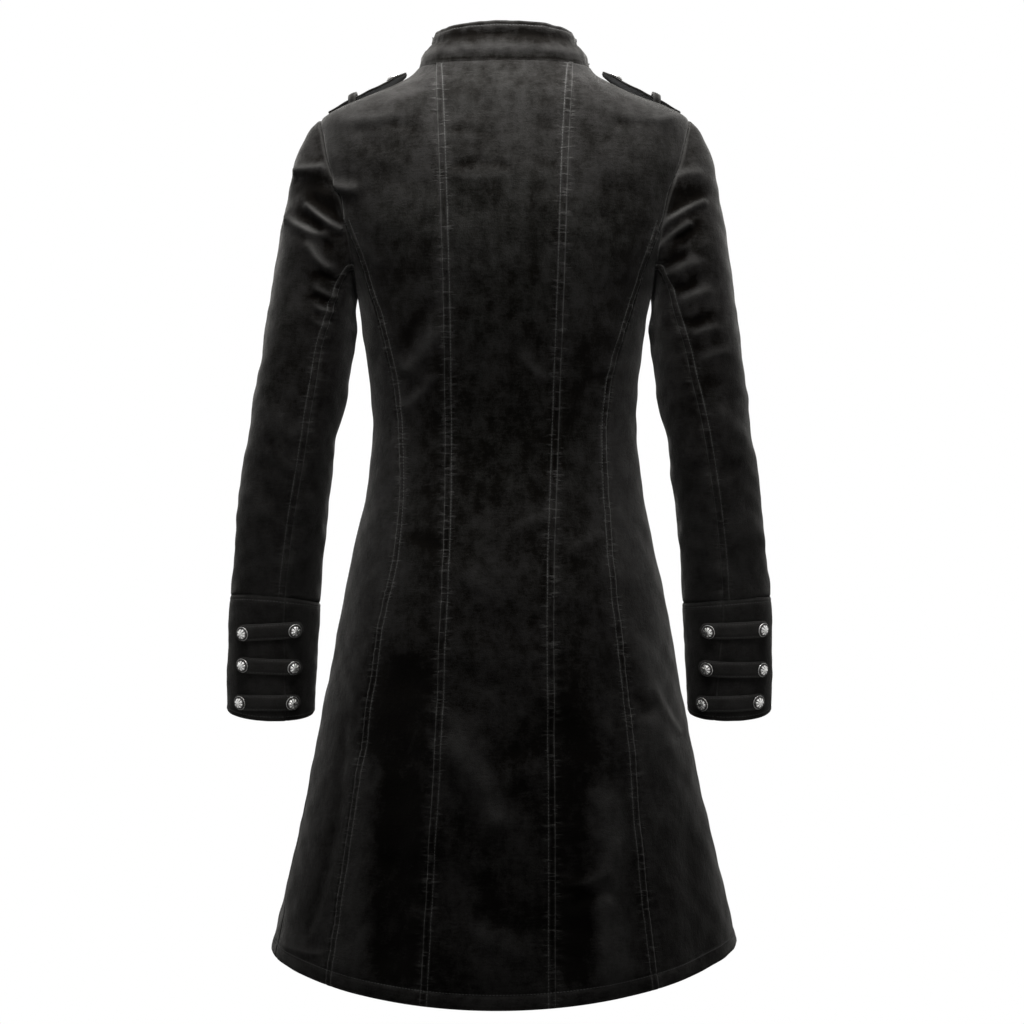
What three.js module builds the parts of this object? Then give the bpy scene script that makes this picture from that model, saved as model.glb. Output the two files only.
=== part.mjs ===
// A fitted, flared velvet coat of military cut, filled out as when worn, with nobody in it.
// It has a stand collar, seams shaped from neck and armhole to hem, two-piece sleeves,
// three buttoned straps on each cuff, and a shoulder strap held under a loop on each shoulder.
// Millimetres. +Z is up, the front faces -Y, and +X is the wearer's left.
// The origin is the middle of the shoulders, where the wearer carries the coat.
import * as THREE from "three";

const CLOTH = 2.2; // velvet with its facing
const SEAM_GAP = 0.3;
const OVERLAP = 18; // how far each front passes the centre line, the right one over the left
const OVERLAP_STEP = 2.1;

// Rings of the body, from the hem up. half is the half width, back and front are the depths
// behind and before the side line, and roundness is 2 for an ellipse and more for a squarer ring.
const BODY = [
  { z: -905, half: 244, back: 203, front: 196, roundness: 2.0 },
  { z: -870, half: 236.5, back: 196, front: 190, roundness: 2.0 },
  { z: -800, half: 220.5, back: 182, front: 177, roundness: 2.0 },
  { z: -700, half: 198, back: 166, front: 160, roundness: 2.0 },
  { z: -580, half: 175, back: 145, front: 138, roundness: 2.0 },
  { z: -500, half: 160, back: 128, front: 124, roundness: 2.05 },
  { z: -430, half: 145, back: 107, front: 111, roundness: 2.1 },
  { z: -380, half: 137.5, back: 92, front: 104, roundness: 2.15 },
  { z: -335, half: 135, back: 88, front: 105, roundness: 2.15 },
  { z: -280, half: 139, back: 96, front: 115, roundness: 2.2 },
  { z: -240, half: 144.5, back: 103, front: 123, roundness: 2.25 },
  { z: -205, half: 150.5, back: 107, front: 125, roundness: 2.3 },
  { z: -165, half: 166.5, back: 109, front: 120, roundness: 2.4 },
  { z: -120, half: 182, back: 106, front: 106, roundness: 2.4 },
  { z: -80, half: 193, back: 99, front: 89, roundness: 2.4 },
  { z: -50, half: 191.5, back: 92, front: 74, roundness: 2.4 },
  { z: -30, half: 186, back: 86, front: 65, roundness: 2.4 },
  { z: -21, half: 170, back: 83, front: 61, roundness: 2.4 },
  { z: -13, half: 152, back: 80, front: 57, roundness: 2.4 },
  { z: 0, half: 121, back: 73, front: 51, roundness: 2.35 },
  { z: 12, half: 98, back: 65, front: 44, roundness: 2.3 },
  { z: 24, half: 87, back: 57, front: 38, roundness: 2.3 },
  { z: 34, half: 81, back: 51, front: 34, roundness: 2.3 },
];

// The seams of the back, as their distance from the centre line on the wearer's left and right.
const INNER_SEAM = [
  { z: -890, left: 80, right: 49.5 },
  { z: -750, left: 73, right: 50 },
  { z: -655, left: 67.5, right: 49.7 },
  { z: -560, left: 64.3, right: 48.7 },
  { z: -465, left: 60.3, right: 50 },
  { z: -350, left: 59.2, right: 54.5 },
  { z: -220, left: 60.5, right: 59 },
  { z: -75, left: 65, right: 63.8 },
];
const OUTER_SEAM = [
  { z: -890, left: 173, right: 149 },
  { z: -750, left: 154, right: 133.5 },
  { z: -660, left: 141, right: 127.3 },
  { z: -611, left: 135, right: 122.8 },
  { z: -536, left: 123.7, right: 115.2 },
  { z: -468, left: 110, right: 107.5 },
  { z: -425, left: 105, right: 105.3 },
  { z: -358, left: 105.2, right: 102.3 },
  { z: -300, left: 111.2, right: 107.3 },
  { z: -235, left: 126, right: 125 },
  { z: -190, left: 140.5, right: 139 },
];
const FRONT_SEAM = [
  { z: -890, left: 118, right: 118 },
  { z: -700, left: 97, right: 97 },
  { z: -500, left: 80, right: 80 },
  { z: -340, left: 70, right: 70 },
  { z: -205, left: 96, right: 96 },
  { z: -155, left: 132, right: 132 },
];
// How many degrees the side seam swings to the back at the hem.
const SIDE_SEAM_AWAY = { left: 17, right: 0 };

const HEM = { side: -868, back: -895, front: -880, tilt: 2.5 }; // lower on the wearer's left
const NECK = { half: 88, back: 21, side: 23, front: -48, curve: 1.3 };
const ARMHOLE = { top: -30, bottom: -207, backInset: 0.11, frontInset: 0.16 };
// The heights at which two seams meet the armhole, and how far from the centre one meets the neck.
const MEETS = { outerSeam: -134, frontSeam: -122, innerSeam: 69.5 };
const COLLAR = { height: 40, thick: 3, roll: 2.6, end: 1.985, sideLean: 0.5, frontLean: 0.2 };
const COLLAR_BACK = { height: 44, lean: 0.27 };

// Rings of each sleeve, from just under the armhole to the end of the cuff.
const SLEEVES = {
  left: [
    { z: -239, x: 197, y: -3, half: 46, depth: 59, seam: 118 },
    { z: -294, x: 205.5, y: -2, half: 46, depth: 55, seam: 113 },
    { z: -355, x: 217, y: -4, half: 45, depth: 52, seam: 114 },
    { z: -437, x: 228, y: -14, half: 46, depth: 50, seam: 109.5 },
    { z: -519, x: 236.5, y: -28, half: 46, depth: 48, seam: 107 },
    { z: -580, x: 240.5, y: -40, half: 45.3, depth: 46.5, seam: 111 },
    { z: -634, x: 243.5, y: -50, half: 44.8, depth: 45.5, seam: 115.5 },
  ],
  right: [
    { z: -239, x: 193, y: -3, half: 45.5, depth: 59, seam: 117 },
    { z: -294, x: 200, y: -2, half: 45.4, depth: 55, seam: 107 },
    { z: -355, x: 209.5, y: -4, half: 43.5, depth: 52, seam: 101 },
    { z: -437, x: 220.5, y: -14, half: 43.7, depth: 50, seam: 98.5 },
    { z: -519, x: 229, y: -28, half: 45, depth: 48, seam: 99.5 },
    { z: -580, x: 232, y: -40, half: 44, depth: 46.5, seam: 108 },
    { z: -634, x: 234, y: -50, half: 42.6, depth: 45.5, seam: 116 },
  ],
};
const FRONT_SLEEVE_SEAM = 248;
const CUFF_TOP = 5; // the cuff runs from the fifth ring to the last
const CUFF_END = 7;
// The upper edge of a cuff is cut level, so it is higher on the back of the sloping sleeve.
const CUFF_RISE = { left: 0.19, right: 0.14 };
const CUFF = { thick: 2.6, proud: 0.5, clear: 0.004 }; // clear is how far down its edge starts

// The straps of each cuff, by their two buttons: the turn round the sleeve and the way down it.
const STRAPS = [
  { side: "left", number: 1, outer: [58, 5.395], inner: [119, 5.29] },
  { side: "left", number: 2, outer: [59, 5.96], inner: [120, 5.95] },
  { side: "left", number: 3, outer: [57, 6.685], inner: [120, 6.63] },
  { side: "right", number: 1, outer: [50, 5.345], inner: [117, 5.31] },
  { side: "right", number: 2, outer: [51, 6.055], inner: [121, 5.985] },
  { side: "right", number: 3, outer: [58, 6.66], inner: [129, 6.68] },
];
const STRAP = { half: 8.5, thick: 2, past: 11, arch: 0.02 };
const BUTTON = { radius: 7.2, height: 5.8 };
const FRONT_BUTTONS = { count: 8, first: -72, step: 66 };
// The shoulder straps run from the armhole to the neck, and thin out towards the armhole.
const SHOULDER_STRAP = { from: 178, to: 98, wide: 21, narrow: 17, thin: 1.8, thick: 3.6, tip: 12 };
const SHOULDER_BUTTON_FROM_TIP = 13;
const SHOULDER_STRAP_RISE = { left: 4, right: 5 };
const LOOP = { at: 154, width: 8, thick: 2, over: 3.5, overhang: 2.5 };

// The largest folds, as seen from behind: a ridge from one point to another, or a trough where
// height is negative. The hidden front has the same folds, mirrored.
const BODY_FOLDS = [
  { x1: 100, z1: -560, x2: 110, z2: -885, width: 26, height: -5 },
  { x1: 128, z1: -660, x2: 146, z2: -885, width: 22, height: 4 },
  { x1: 50, z1: -640, x2: 2, z2: -730, width: 16, height: 4 },
  { x1: -60, z1: -600, x2: -68, z2: -885, width: 20, height: -4 },
  { x1: -96, z1: -690, x2: -102, z2: -885, width: 20, height: 4 },
  { x1: -122, z1: -560, x2: -160, z2: -670, width: 15, height: 5 },
  { x1: -116, z1: -560, x2: -140, z2: -630, width: 10, height: -5 },
  { x1: 205, z1: -700, x2: 222, z2: -880, width: 16, height: 4 },
  { x1: -180, z1: -740, x2: -205, z2: -880, width: 22, height: -4 },
  { x1: 101, z1: -290, x2: 66, z2: -250, width: 9, height: 3 },
];
const SLEEVE_FOLDS = {
  left: [
    { x1: 214, z1: -77, x2: 178, z2: -80, width: 9, height: 4 },
    { x1: 212, z1: -92, x2: 184, z2: -96, width: 9, height: -4 },
    { x1: 194, z1: -114, x2: 163, z2: -145, width: 7, height: 5 },
    { x1: 217, z1: -124, x2: 186, z2: -150, width: 8, height: 5 },
    { x1: 188, z1: -130, x2: 172, z2: -143, width: 8, height: -5 },
    { x1: 190, z1: -163, x2: 168, z2: -180, width: 8, height: 4 },
    { x1: 185, z1: -205, x2: 168, z2: -214, width: 9, height: 3 },
  ],
  right: [
    { x1: 172, z1: -86, x2: 201, z2: -87, width: 9, height: 4 },
    { x1: 165, z1: -142, x2: 212, z2: -113, width: 8, height: 5 },
    { x1: 158, z1: -170, x2: 201, z2: -134, width: 7, height: 5 },
    { x1: 178, z1: -128, x2: 206, z2: -104, width: 9, height: -4 },
    { x1: 186, z1: -206, x2: 201, z2: -195, width: 9, height: 4 },
    { x1: 180, z1: -222, x2: 200, z2: -216, width: 8, height: -3 },
  ],
};

// How finely each piece is divided.
const SEAM_ROWS = 16;
const TOP_ROWS = 7;
const NECK_ROWS = 2;
const PANEL_COLUMNS = 6;
const SIDE_COLUMNS = 4;
const CAP_ROWS = 12;
const ARM_ROWS = 11;

const { degToRad, radToDeg, lerp, clamp, smoothstep } = THREE.MathUtils;
const SIDE_SIGN = { left: 1, right: -1 };
const UP = new THREE.Vector3(0, 0, 1);

// A smooth curve through one column of a table, read at a value of its key column.
function curve(rows, key, column) {
  const at = rows.map((row) => row[key]);
  const value = rows.map((row) => row[column]);
  const last = rows.length - 1;
  const slope = value.map((_, i) => {
    const before = Math.max(i - 1, 0);
    const after = Math.min(i + 1, last);
    return (value[after] - value[before]) / (at[after] - at[before]);
  });
  return (where) => {
    let i = 0;
    while (i < last - 1 && where > at[i + 1]) i += 1;
    const span = at[i + 1] - at[i];
    const t = clamp((where - at[i]) / span, 0, 1);
    const t2 = t * t;
    const t3 = t2 * t;
    return (
      value[i] * (2 * t3 - 3 * t2 + 1) +
      slope[i] * span * (t3 - 2 * t2 + t) +
      value[i + 1] * (3 * t2 - 2 * t3) +
      slope[i + 1] * span * (t3 - t2)
    );
  };
}

const halfAt = curve(BODY, "z", "half");
const backAt = curve(BODY, "z", "back");
const frontAt = curve(BODY, "z", "front");
const roundnessAt = curve(BODY, "z", "roundness");

// A signed power, so that a ring can be squarer than an ellipse.
function bend(value, power) {
  return Math.sign(value) * Math.abs(value) ** power;
}

// A point of the body's ring at a height. The angle is 0 at the centre back, 90 at the
// wearer's left side, 180 at the centre front and -90 at the right side.
function ringPoint(angle, z) {
  const power = 2 / roundnessAt(z);
  const turn = degToRad(angle);
  const depth = Math.cos(turn) > 0 ? backAt(z) : frontAt(z);
  const x = halfAt(z) * bend(Math.sin(turn), power);
  return new THREE.Vector3(x, depth * bend(Math.cos(turn), power), z);
}

// The outward normal of any surface given as a function of two numbers.
function normalOf(surface, u, v, du, dv) {
  const alongU = surface(u + du, v).sub(surface(u - du, v));
  const alongV = surface(u, v + dv).sub(surface(u, v - dv));
  return alongU.cross(alongV).normalize();
}

// How far the folds of a table lift the cloth at a point.
function foldLift(folds, point, normal) {
  const facing = smoothstep(Math.abs(normal.y), 0.1, 0.6);
  const x = normal.y > 0 ? point.x : -point.x;
  let lift = 0;
  for (const fold of folds) {
    const alongX = fold.x2 - fold.x1;
    const alongZ = fold.z2 - fold.z1;
    const length = Math.hypot(alongX, alongZ);
    const share = ((x - fold.x1) * alongX + (point.z - fold.z1) * alongZ) / length ** 2;
    const nearest = clamp(share, 0.12, 0.88);
    const away = Math.hypot(x - fold.x1 - nearest * alongX, point.z - fold.z1 - nearest * alongZ);
    lift += fold.height * facing * Math.exp(-((away / fold.width) ** 2));
  }
  return lift;
}

// A point of the body's cloth, lifted off its plain ring surface by the folds and by lift.
function bodyPoint(angle, z, lift) {
  const point = ringPoint(angle, z);
  const normal = normalOf(ringPoint, angle, z, -0.3, 0.6);
  const share = point.y > 0 ? 1 : smoothstep(Math.abs(point.x), 30, 80); // the closed edges lie flat
  return point.addScaledVector(normal, lift + share * foldLift(BODY_FOLDS, point, normal));
}

// The angle at which the body's ring is a given distance from the centre line.
function angleAt(x, z, face) {
  const share = clamp(Math.abs(x) / halfAt(z), 0, 1) ** (roundnessAt(z) / 2);
  const angle = radToDeg(Math.asin(share));
  return Math.sign(x) * (face === "back" ? angle : 180 - angle);
}

function hemHeight(angle) {
  const turn = degToRad(angle);
  const dip = Math.cos(turn) > 0 ? HEM.back : HEM.front;
  return lerp(HEM.side, dip, Math.cos(turn) ** 2) - HEM.tilt * Math.sin(turn);
}

// The neckline: way is 0 at the centre back, 1 at the side of the neck and 2 at the centre front.
function neckline(way, sign) {
  const turn = degToRad(90 * (way > 1 ? way - 1 : way));
  if (way <= 1) {
    const x = NECK.half * Math.sin(turn);
    const z = lerp(NECK.back, NECK.side, Math.sin(turn) ** 2);
    return { angle: angleAt(sign * x, z, "back"), z };
  }
  const x = NECK.half * Math.cos(turn);
  const z = NECK.side - (NECK.side - NECK.front) * Math.sin(turn) ** NECK.curve;
  return { angle: angleAt(sign * Math.max(x, 0.001), z, "front"), z };
}

// The armhole: turn is 0 at the shoulder, 90 at the back, 180 under the arm and 270 at the front.
function armhole(turn, sign) {
  const across = Math.sin(degToRad(turn));
  const middle = (ARMHOLE.top + ARMHOLE.bottom) / 2;
  const z = middle + ((ARMHOLE.top - ARMHOLE.bottom) / 2) * Math.cos(degToRad(turn));
  const inset = (across > 0 ? ARMHOLE.backInset : ARMHOLE.frontInset) * across ** 2;
  return { angle: angleAt(sign * halfAt(z) * (1 - inset), z, across > 0 ? "back" : "front"), z };
}

// The turn round the armhole at which a seam that ends at a height meets it.
function armholeTurn(z, face) {
  const middle = (ARMHOLE.top + ARMHOLE.bottom) / 2;
  const turn = radToDeg(Math.acos((z - middle) / ((ARMHOLE.top - ARMHOLE.bottom) / 2)));
  return face === "back" ? turn : 360 - turn;
}

// A list of points from a line that is read from 0 to 1.
function listed(count, line) {
  return Array.from({ length: count + 1 }, (_, i) => line(i / count));
}

// Fills a panel between its four edges. Each edge is a list of places given by angle and height.
function fill(left, right, bottom, top) {
  const rows = left.length - 1;
  const columns = bottom.length - 1;
  return left.map((_, r) =>
    bottom.map((_, c) => {
      const up = r / rows;
      const across = c / columns;
      const value = (key) =>
        lerp(left[r][key], right[r][key], across) +
        up ** 4 * (top[c][key] - lerp(top[0][key], top[columns][key], across)) +
        (1 - up) ** 4 * (bottom[c][key] - lerp(bottom[0][key], bottom[columns][key], across));
      return { angle: value("angle"), z: value("z") };
    }),
  );
}

// Takes half a seam's gap off each edge of a grid of points that is sewn to another piece.
function trimmed(points, sewn) {
  const trim = (edge, beside) => {
    const moves = edge.map((point, i) => beside[i].clone().sub(point).setLength(SEAM_GAP / 2));
    edge.forEach((point, i) => point.add(moves[i]));
  };
  const column = (i) => points.map((row) => row.at(i));
  if (sewn.includes("left")) trim(column(0), column(1));
  if (sewn.includes("right")) trim(column(-1), column(-2));
  if (sewn.includes("bottom")) trim(points[0], points[1]);
  if (sewn.includes("top")) trim(points.at(-1), points.at(-2));
  return points;
}

// A closed wall between two layers of points, with its faces turned outwards.
function wall(outer, inner) {
  const rows = outer.length;
  const columns = outer[0].length;
  const corners = [...outer.flat(), ...inner.flat()];
  const index = [];
  const quad = (a, b, c, d) => index.push(a, b, c, a, c, d);
  const out = (r, c) => r * columns + c;
  const back = (r, c) => rows * columns + r * columns + c;
  for (let r = 0; r < rows - 1; r += 1) {
    for (let c = 0; c < columns - 1; c += 1) {
      quad(out(r, c), out(r, c + 1), out(r + 1, c + 1), out(r + 1, c));
      quad(back(r, c), back(r + 1, c), back(r + 1, c + 1), back(r, c + 1));
    }
    quad(out(r, 0), out(r + 1, 0), back(r + 1, 0), back(r, 0));
    quad(out(r, columns - 1), back(r, columns - 1), back(r + 1, columns - 1), out(r + 1, columns - 1));
  }
  for (let c = 0; c < columns - 1; c += 1) {
    quad(out(0, c), back(0, c), back(0, c + 1), out(0, c + 1));
    quad(out(rows - 1, c), out(rows - 1, c + 1), back(rows - 1, c + 1), back(rows - 1, c));
  }
  let volume = 0;
  for (let i = 0; i < index.length; i += 3) {
    const [a, b, c] = [corners[index[i]], corners[index[i + 1]], corners[index[i + 2]]];
    volume += a.dot(b.clone().cross(c));
  }
  if (volume < 0) index.reverse();
  const geometry = new THREE.BufferGeometry().setFromPoints(corners);
  geometry.setIndex(index);
  geometry.computeVertexNormals();
  return geometry;
}

const coat = new THREE.Group();
const velvet = new THREE.MeshStandardMaterial({ color: 0x1c1b1a, roughness: 0.95 });
const metal = new THREE.MeshStandardMaterial({ color: 0xb9b9bb, roughness: 0.35, metalness: 0.95 });

function add(name, geometry, material) {
  const mesh = new THREE.Mesh(geometry, material);
  mesh.name = name;
  coat.add(mesh);
  return mesh;
}

// Adds one panel of the body.
function addPanel(name, places, sewn, lift = () => 0) {
  const layer = (depth) => {
    const cloth = ({ angle, z }) => bodyPoint(angle, z, lift(angle, z) - depth);
    return trimmed(places.map((row) => row.map(cloth)), sewn);
  };
  add(name, wall(layer(0), layer(CLOTH)), velvet);
}

// A seam up the body, from the hem through its table to a last point that is given. Where it goes
// on past the armhole's seam, it has more rows there.
function seamList(table, side, face, end, moreRows = 0) {
  const sign = SIDE_SIGN[side];
  const last = { z: end.z, [side]: Math.abs(ringPoint(end.angle, end.z).x) };
  const distance = curve([...table, last], "z", side);
  const foot = hemHeight(angleAt(sign * table[0][side], table[0].z, face));
  const place = (z) => ({ angle: angleAt(sign * distance(z), z, face), z });
  const turning = moreRows ? MEETS.outerSeam : end.z;
  const lower = listed(SEAM_ROWS, (up) => place(lerp(foot, turning, up)));
  const upper = listed(moreRows, (up) => place(lerp(turning, end.z, up)));
  return moreRows ? [...lower, ...upper.slice(1)] : lower;
}

// A part of the armhole's edge, from one turn to another.
function armholeList(from, to, sign, count) {
  return listed(count, (share) => armhole(lerp(from, to, share), sign));
}

function hemList(left, right, count) {
  return listed(count, (across) => {
    const angle = lerp(left[0].angle, right[0].angle, across);
    return { angle, z: hemHeight(angle) };
  });
}

function sideSeamList(side) {
  return listed(SEAM_ROWS, (up) => {
    const angle = SIDE_SIGN[side] * (90 - SIDE_SEAM_AWAY[side] * clamp(1 - up / 0.45, 0, 1));
    return { angle, z: lerp(hemHeight(angle), ARMHOLE.bottom, up) };
  });
}

// The turns round the armhole where the seams of the body and of the sleeve meet it.
const BACK_TURN = armholeTurn(MEETS.outerSeam, "back");
const FRONT_TURN = armholeTurn(MEETS.frontSeam, "front");
const backSeamTurn = lerp(BACK_TURN, 180, 0.5);
const frontSeamTurn = lerp(180, FRONT_TURN, 0.75);
const innerSeamWay = radToDeg(Math.asin(MEETS.innerSeam / NECK.half)) / 90;

function straightTop(inner, outer, sign) {
  const ends = [inner.at(-1).z, outer.at(-1).z];
  return listed(PANEL_COLUMNS, (across) => ({ angle: sign * 90, z: lerp(ends[0], ends[1], across) }));
}

function makeBack() {
  const inner = {};
  for (const side of ["left", "right"]) {
    const sign = SIDE_SIGN[side];
    // The inner seam has the rows of the armhole above the outer seam's end, less those of the neck.
    inner[side] = seamList(INNER_SEAM, side, "back", neckline(innerSeamWay, sign), TOP_ROWS - NECK_ROWS);
    const outer = seamList(OUTER_SEAM, side, "back", armhole(BACK_TURN, 1));
    const neckSide = listed(NECK_ROWS, (share) => neckline(lerp(innerSeamWay, 1, share), sign));
    const innerEdge = [...inner[side], ...neckSide.slice(1)];
    const outerEdge = [...outer, ...armholeList(BACK_TURN, 0, sign, TOP_ROWS).slice(1)];
    const hem = hemList(innerEdge, outerEdge, PANEL_COLUMNS);
    const places = fill(innerEdge, outerEdge, hem, straightTop(innerEdge, outerEdge, sign));
    addPanel("back_" + side, places, ["left", "right", "top"]);

    const sideSeam = sideSeamList(side);
    const underArm = armholeList(BACK_TURN, 180, sign, SIDE_COLUMNS);
    const sidePlaces = fill(outer, sideSeam, hemList(outer, sideSeam, SIDE_COLUMNS), underArm);
    addPanel("side_back_" + side, sidePlaces, ["left", "right", "top"]);
  }
  const neck = listed(PANEL_COLUMNS, (across) => {
    const along = lerp(innerSeamWay, -innerSeamWay, across);
    return neckline(Math.abs(along), along < 0 ? -1 : 1);
  });
  const places = fill(inner.left, inner.right, hemList(inner.left, inner.right, PANEL_COLUMNS), neck);
  addPanel("back_centre", places, ["left", "right", "top"]);
}

function makeFront() {
  for (const side of ["left", "right"]) {
    const sign = SIDE_SIGN[side];
    const seam = seamList(FRONT_SEAM, side, "front", armhole(FRONT_TURN, 1));
    const sideSeam = sideSeamList(side);
    const underArm = armholeList(FRONT_TURN, 180, sign, SIDE_COLUMNS);
    const sidePlaces = fill(seam, sideSeam, hemList(seam, sideSeam, SIDE_COLUMNS), underArm);
    addPanel("side_front_" + side, sidePlaces, ["left", "right", "top"]);

    // The front edge lies past the centre line, so the neckline comes back across it.
    const pastCentre = (place) => ({ angle: sign * (360 - Math.abs(place.angle)), z: place.z });
    const neckWay = 2 - radToDeg(Math.asin(OVERLAP / NECK.half)) / 90;
    const corner = neckline(neckWay, sign);
    const frontEdge = listed(SEAM_ROWS, (up) => {
      const z = lerp(HEM.front, corner.z, up);
      return pastCentre({ angle: angleAt(sign * OVERLAP, z, "front"), z });
    });
    const neckEdge = listed(TOP_ROWS - 1, (share) => neckline(lerp(2, 1, share), sign));
    const innerEdge = [...frontEdge, ...neckEdge];
    const outerEdge = [...seam, ...armholeList(FRONT_TURN, 360, sign, TOP_ROWS).slice(1)];
    const hem = hemList(innerEdge, outerEdge, PANEL_COLUMNS);
    const places = fill(innerEdge, outerEdge, hem, straightTop(innerEdge, outerEdge, sign));
    const step = side === "right" ? OVERLAP_STEP : -OVERLAP_STEP;
    const lift = (angle, z) => {
      const past = ringPoint(angle, z).x * -sign;
      return Math.abs(angle) > 120 ? step * smoothstep(past, -OVERLAP - 22, -OVERLAP - 2) : 0;
    };
    addPanel("front_" + side, places, ["right", "top"], lift);
  }
}

// The stand collar: way is 0 at the centre back and 2 at the centre front, and up is 0 to 1.
function collarPoint(way, up) {
  const sign = way < 0 ? -1 : 1;
  const { angle, z } = neckline(Math.abs(way), sign);
  const foot = ringPoint(angle, z + 1.3 * SEAM_GAP);
  const inward = new THREE.Vector3(-foot.x, -foot.y, 0).normalize();
  const side = Math.abs(foot.x) / NECK.half;
  const middleLean = foot.y > 0 ? COLLAR_BACK.lean : COLLAR.frontLean;
  const middleHeight = foot.y > 0 ? COLLAR_BACK.height : COLLAR.height;
  const lean = lerp(middleLean, COLLAR.sideLean, side ** 2);
  const roll = Math.exp(-(((up - 0.3) / 0.2) ** 2)) - Math.exp(-(((up - 0.66) / 0.14) ** 2));
  const outward = COLLAR.roll * roll * Math.sin(Math.PI * up);
  const rise = lerp(middleHeight, COLLAR.height, side ** 2) / Math.hypot(1, lean);
  return foot.addScaledVector(UP, rise * up).addScaledVector(inward, rise * lean * up - outward);
}

function makeCollar() {
  // The columns of the collar are those of the neckline under it.
  const half = [
    ...listed(NECK_ROWS, (share) => lerp(innerSeamWay, 1, share)),
    ...listed(TOP_ROWS - 1, (share) => lerp(1, COLLAR.end, share)).slice(1),
  ];
  const middle = listed(PANEL_COLUMNS, (share) => lerp(-innerSeamWay, innerSeamWay, share)).slice(1, -1);
  const ways = [...half.map((w) => -w).reverse(), ...middle, ...half];
  const rows = [0, 0.15, 0.3, 0.47, 0.64, 0.82, 1];
  const layer = (depth) => (way, up) => {
    const normal = normalOf(collarPoint, way, clamp(up, 0.02, 0.98), -0.01, 0.02);
    return collarPoint(way, up).addScaledVector(normal, -depth);
  };
  const points = (depth) => rows.map((up) => ways.map((way) => layer(depth)(way, up)));
  add("collar", wall(points(0), points(COLLAR.thick)), velvet);
}

// A ring of a sleeve. along is 1 at the first row of its table; turn is 0 at the outside of the
// arm, 90 at the back, 180 next to the body and 270 at the front.
function makeSleeveSurface(side) {
  const rows = SLEEVES[side].map((row, i) => ({ ...row, along: i + 1 }));
  const keys = ["x", "y", "z", "half", "depth"];
  const read = Object.fromEntries(keys.map((key) => [key, curve(rows, "along", key)]));
  const centre = (along) => new THREE.Vector3(read.x(along), read.y(along), read.z(along));
  const ring = (turn, along) => {
    const near = clamp(along, 1.02, CUFF_END - 0.02);
    const axis = centre(near + 0.02).sub(centre(near - 0.02)).normalize();
    const out = new THREE.Vector3(1, 0, 0).addScaledVector(axis, -axis.x).normalize();
    const back = out.clone().cross(axis);
    return centre(along)
      .addScaledVector(out, read.half(along) * bend(Math.cos(degToRad(turn)), 0.95))
      .addScaledVector(back, read.depth(along) * bend(Math.sin(degToRad(turn)), 0.95));
  };
  // The sleeve head, from the armhole to the first ring.
  const cap = (turn, share) => {
    const { angle, z } = armhole(turn, 1);
    const start = ringPoint(angle, z);
    const end = ring(turn, 1);
    const length = start.distanceTo(end);
    const underArm = (1 - Math.cos(degToRad(turn))) / 2;
    const leave = new THREE.Vector3(0.93, 0.35 * Math.sin(degToRad(turn)), lerp(-0.37, -0.5, underArm));
    leave.normalize();
    start.addScaledVector(leave, SEAM_GAP);
    const arrive = ring(turn, 1.04).sub(end).normalize();
    const t2 = share * share;
    const t3 = t2 * share;
    return start
      .multiplyScalar(2 * t3 - 3 * t2 + 1)
      .addScaledVector(leave, 0.45 * length * (t3 - 2 * t2 + share))
      .addScaledVector(end, 3 * t2 - 2 * t3)
      .addScaledVector(arrive, 0.9 * length * (t3 - t2));
  };
  const plain = (turn, along) => (along < 1 ? cap(turn, along) : ring(turn, along));
  const seam = curve([{ along: 0, seam: backSeamTurn }, ...rows], "along", "seam");
  // The cloth itself, with its folds, lifted by a given amount.
  const cloth = (turn, along, lift) => {
    const near = clamp(along, 0.015, CUFF_END - 0.03);
    const normal = normalOf(plain, turn, near, -0.5, 0.012);
    const point = plain(turn, along);
    const fade = smoothstep(along, 0, 0.12);
    return point.addScaledVector(normal, lift + fade * foldLift(SLEEVE_FOLDS[side], point, normal));
  };
  return { cloth, seam, plain };
}

function mirrored(points, sign) {
  return points.map((row) => row.map((point) => point.setX(point.x * sign)));
}

// Sews a button on a piece, where a line from a point outside it meets its outer face.
function makeButton(name, piece, from, towards) {
  const { radius, height } = BUTTON;
  const line = new THREE.Raycaster(from, towards.clone().normalize());
  const { point, face } = line.intersectObject(piece)[0];
  const normal = face.normal;
  const profile = [
    new THREE.Vector2(0, 0),
    new THREE.Vector2(0.8 * radius, 0),
    new THREE.Vector2(radius, 0.22 * height),
    new THREE.Vector2(0.9 * radius, 0.6 * height),
    new THREE.Vector2(0.5 * radius, 0.9 * height),
    new THREE.Vector2(0, height),
  ];
  const button = add(name, new THREE.LatheGeometry(profile, 12), metal);
  button.quaternion.setFromUnitVectors(new THREE.Vector3(0, 1, 0), normal);
  button.position.copy(point).addScaledVector(normal, SEAM_GAP);
}

// The turns of the sleeve's columns at the armhole, the same as the body's points there.
const ARMHOLE_TURNS = [
  ...listed(SIDE_COLUMNS, (share) => lerp(180, FRONT_TURN, share)).slice(0, -1),
  ...listed(TOP_ROWS, (share) => lerp(FRONT_TURN, 360, share)).slice(0, -1),
  ...listed(TOP_ROWS, (share) => lerp(360, 360 + BACK_TURN, share)).slice(0, -1),
  ...listed(SIDE_COLUMNS, (share) => lerp(360 + BACK_TURN, 540, share)),
];

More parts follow.
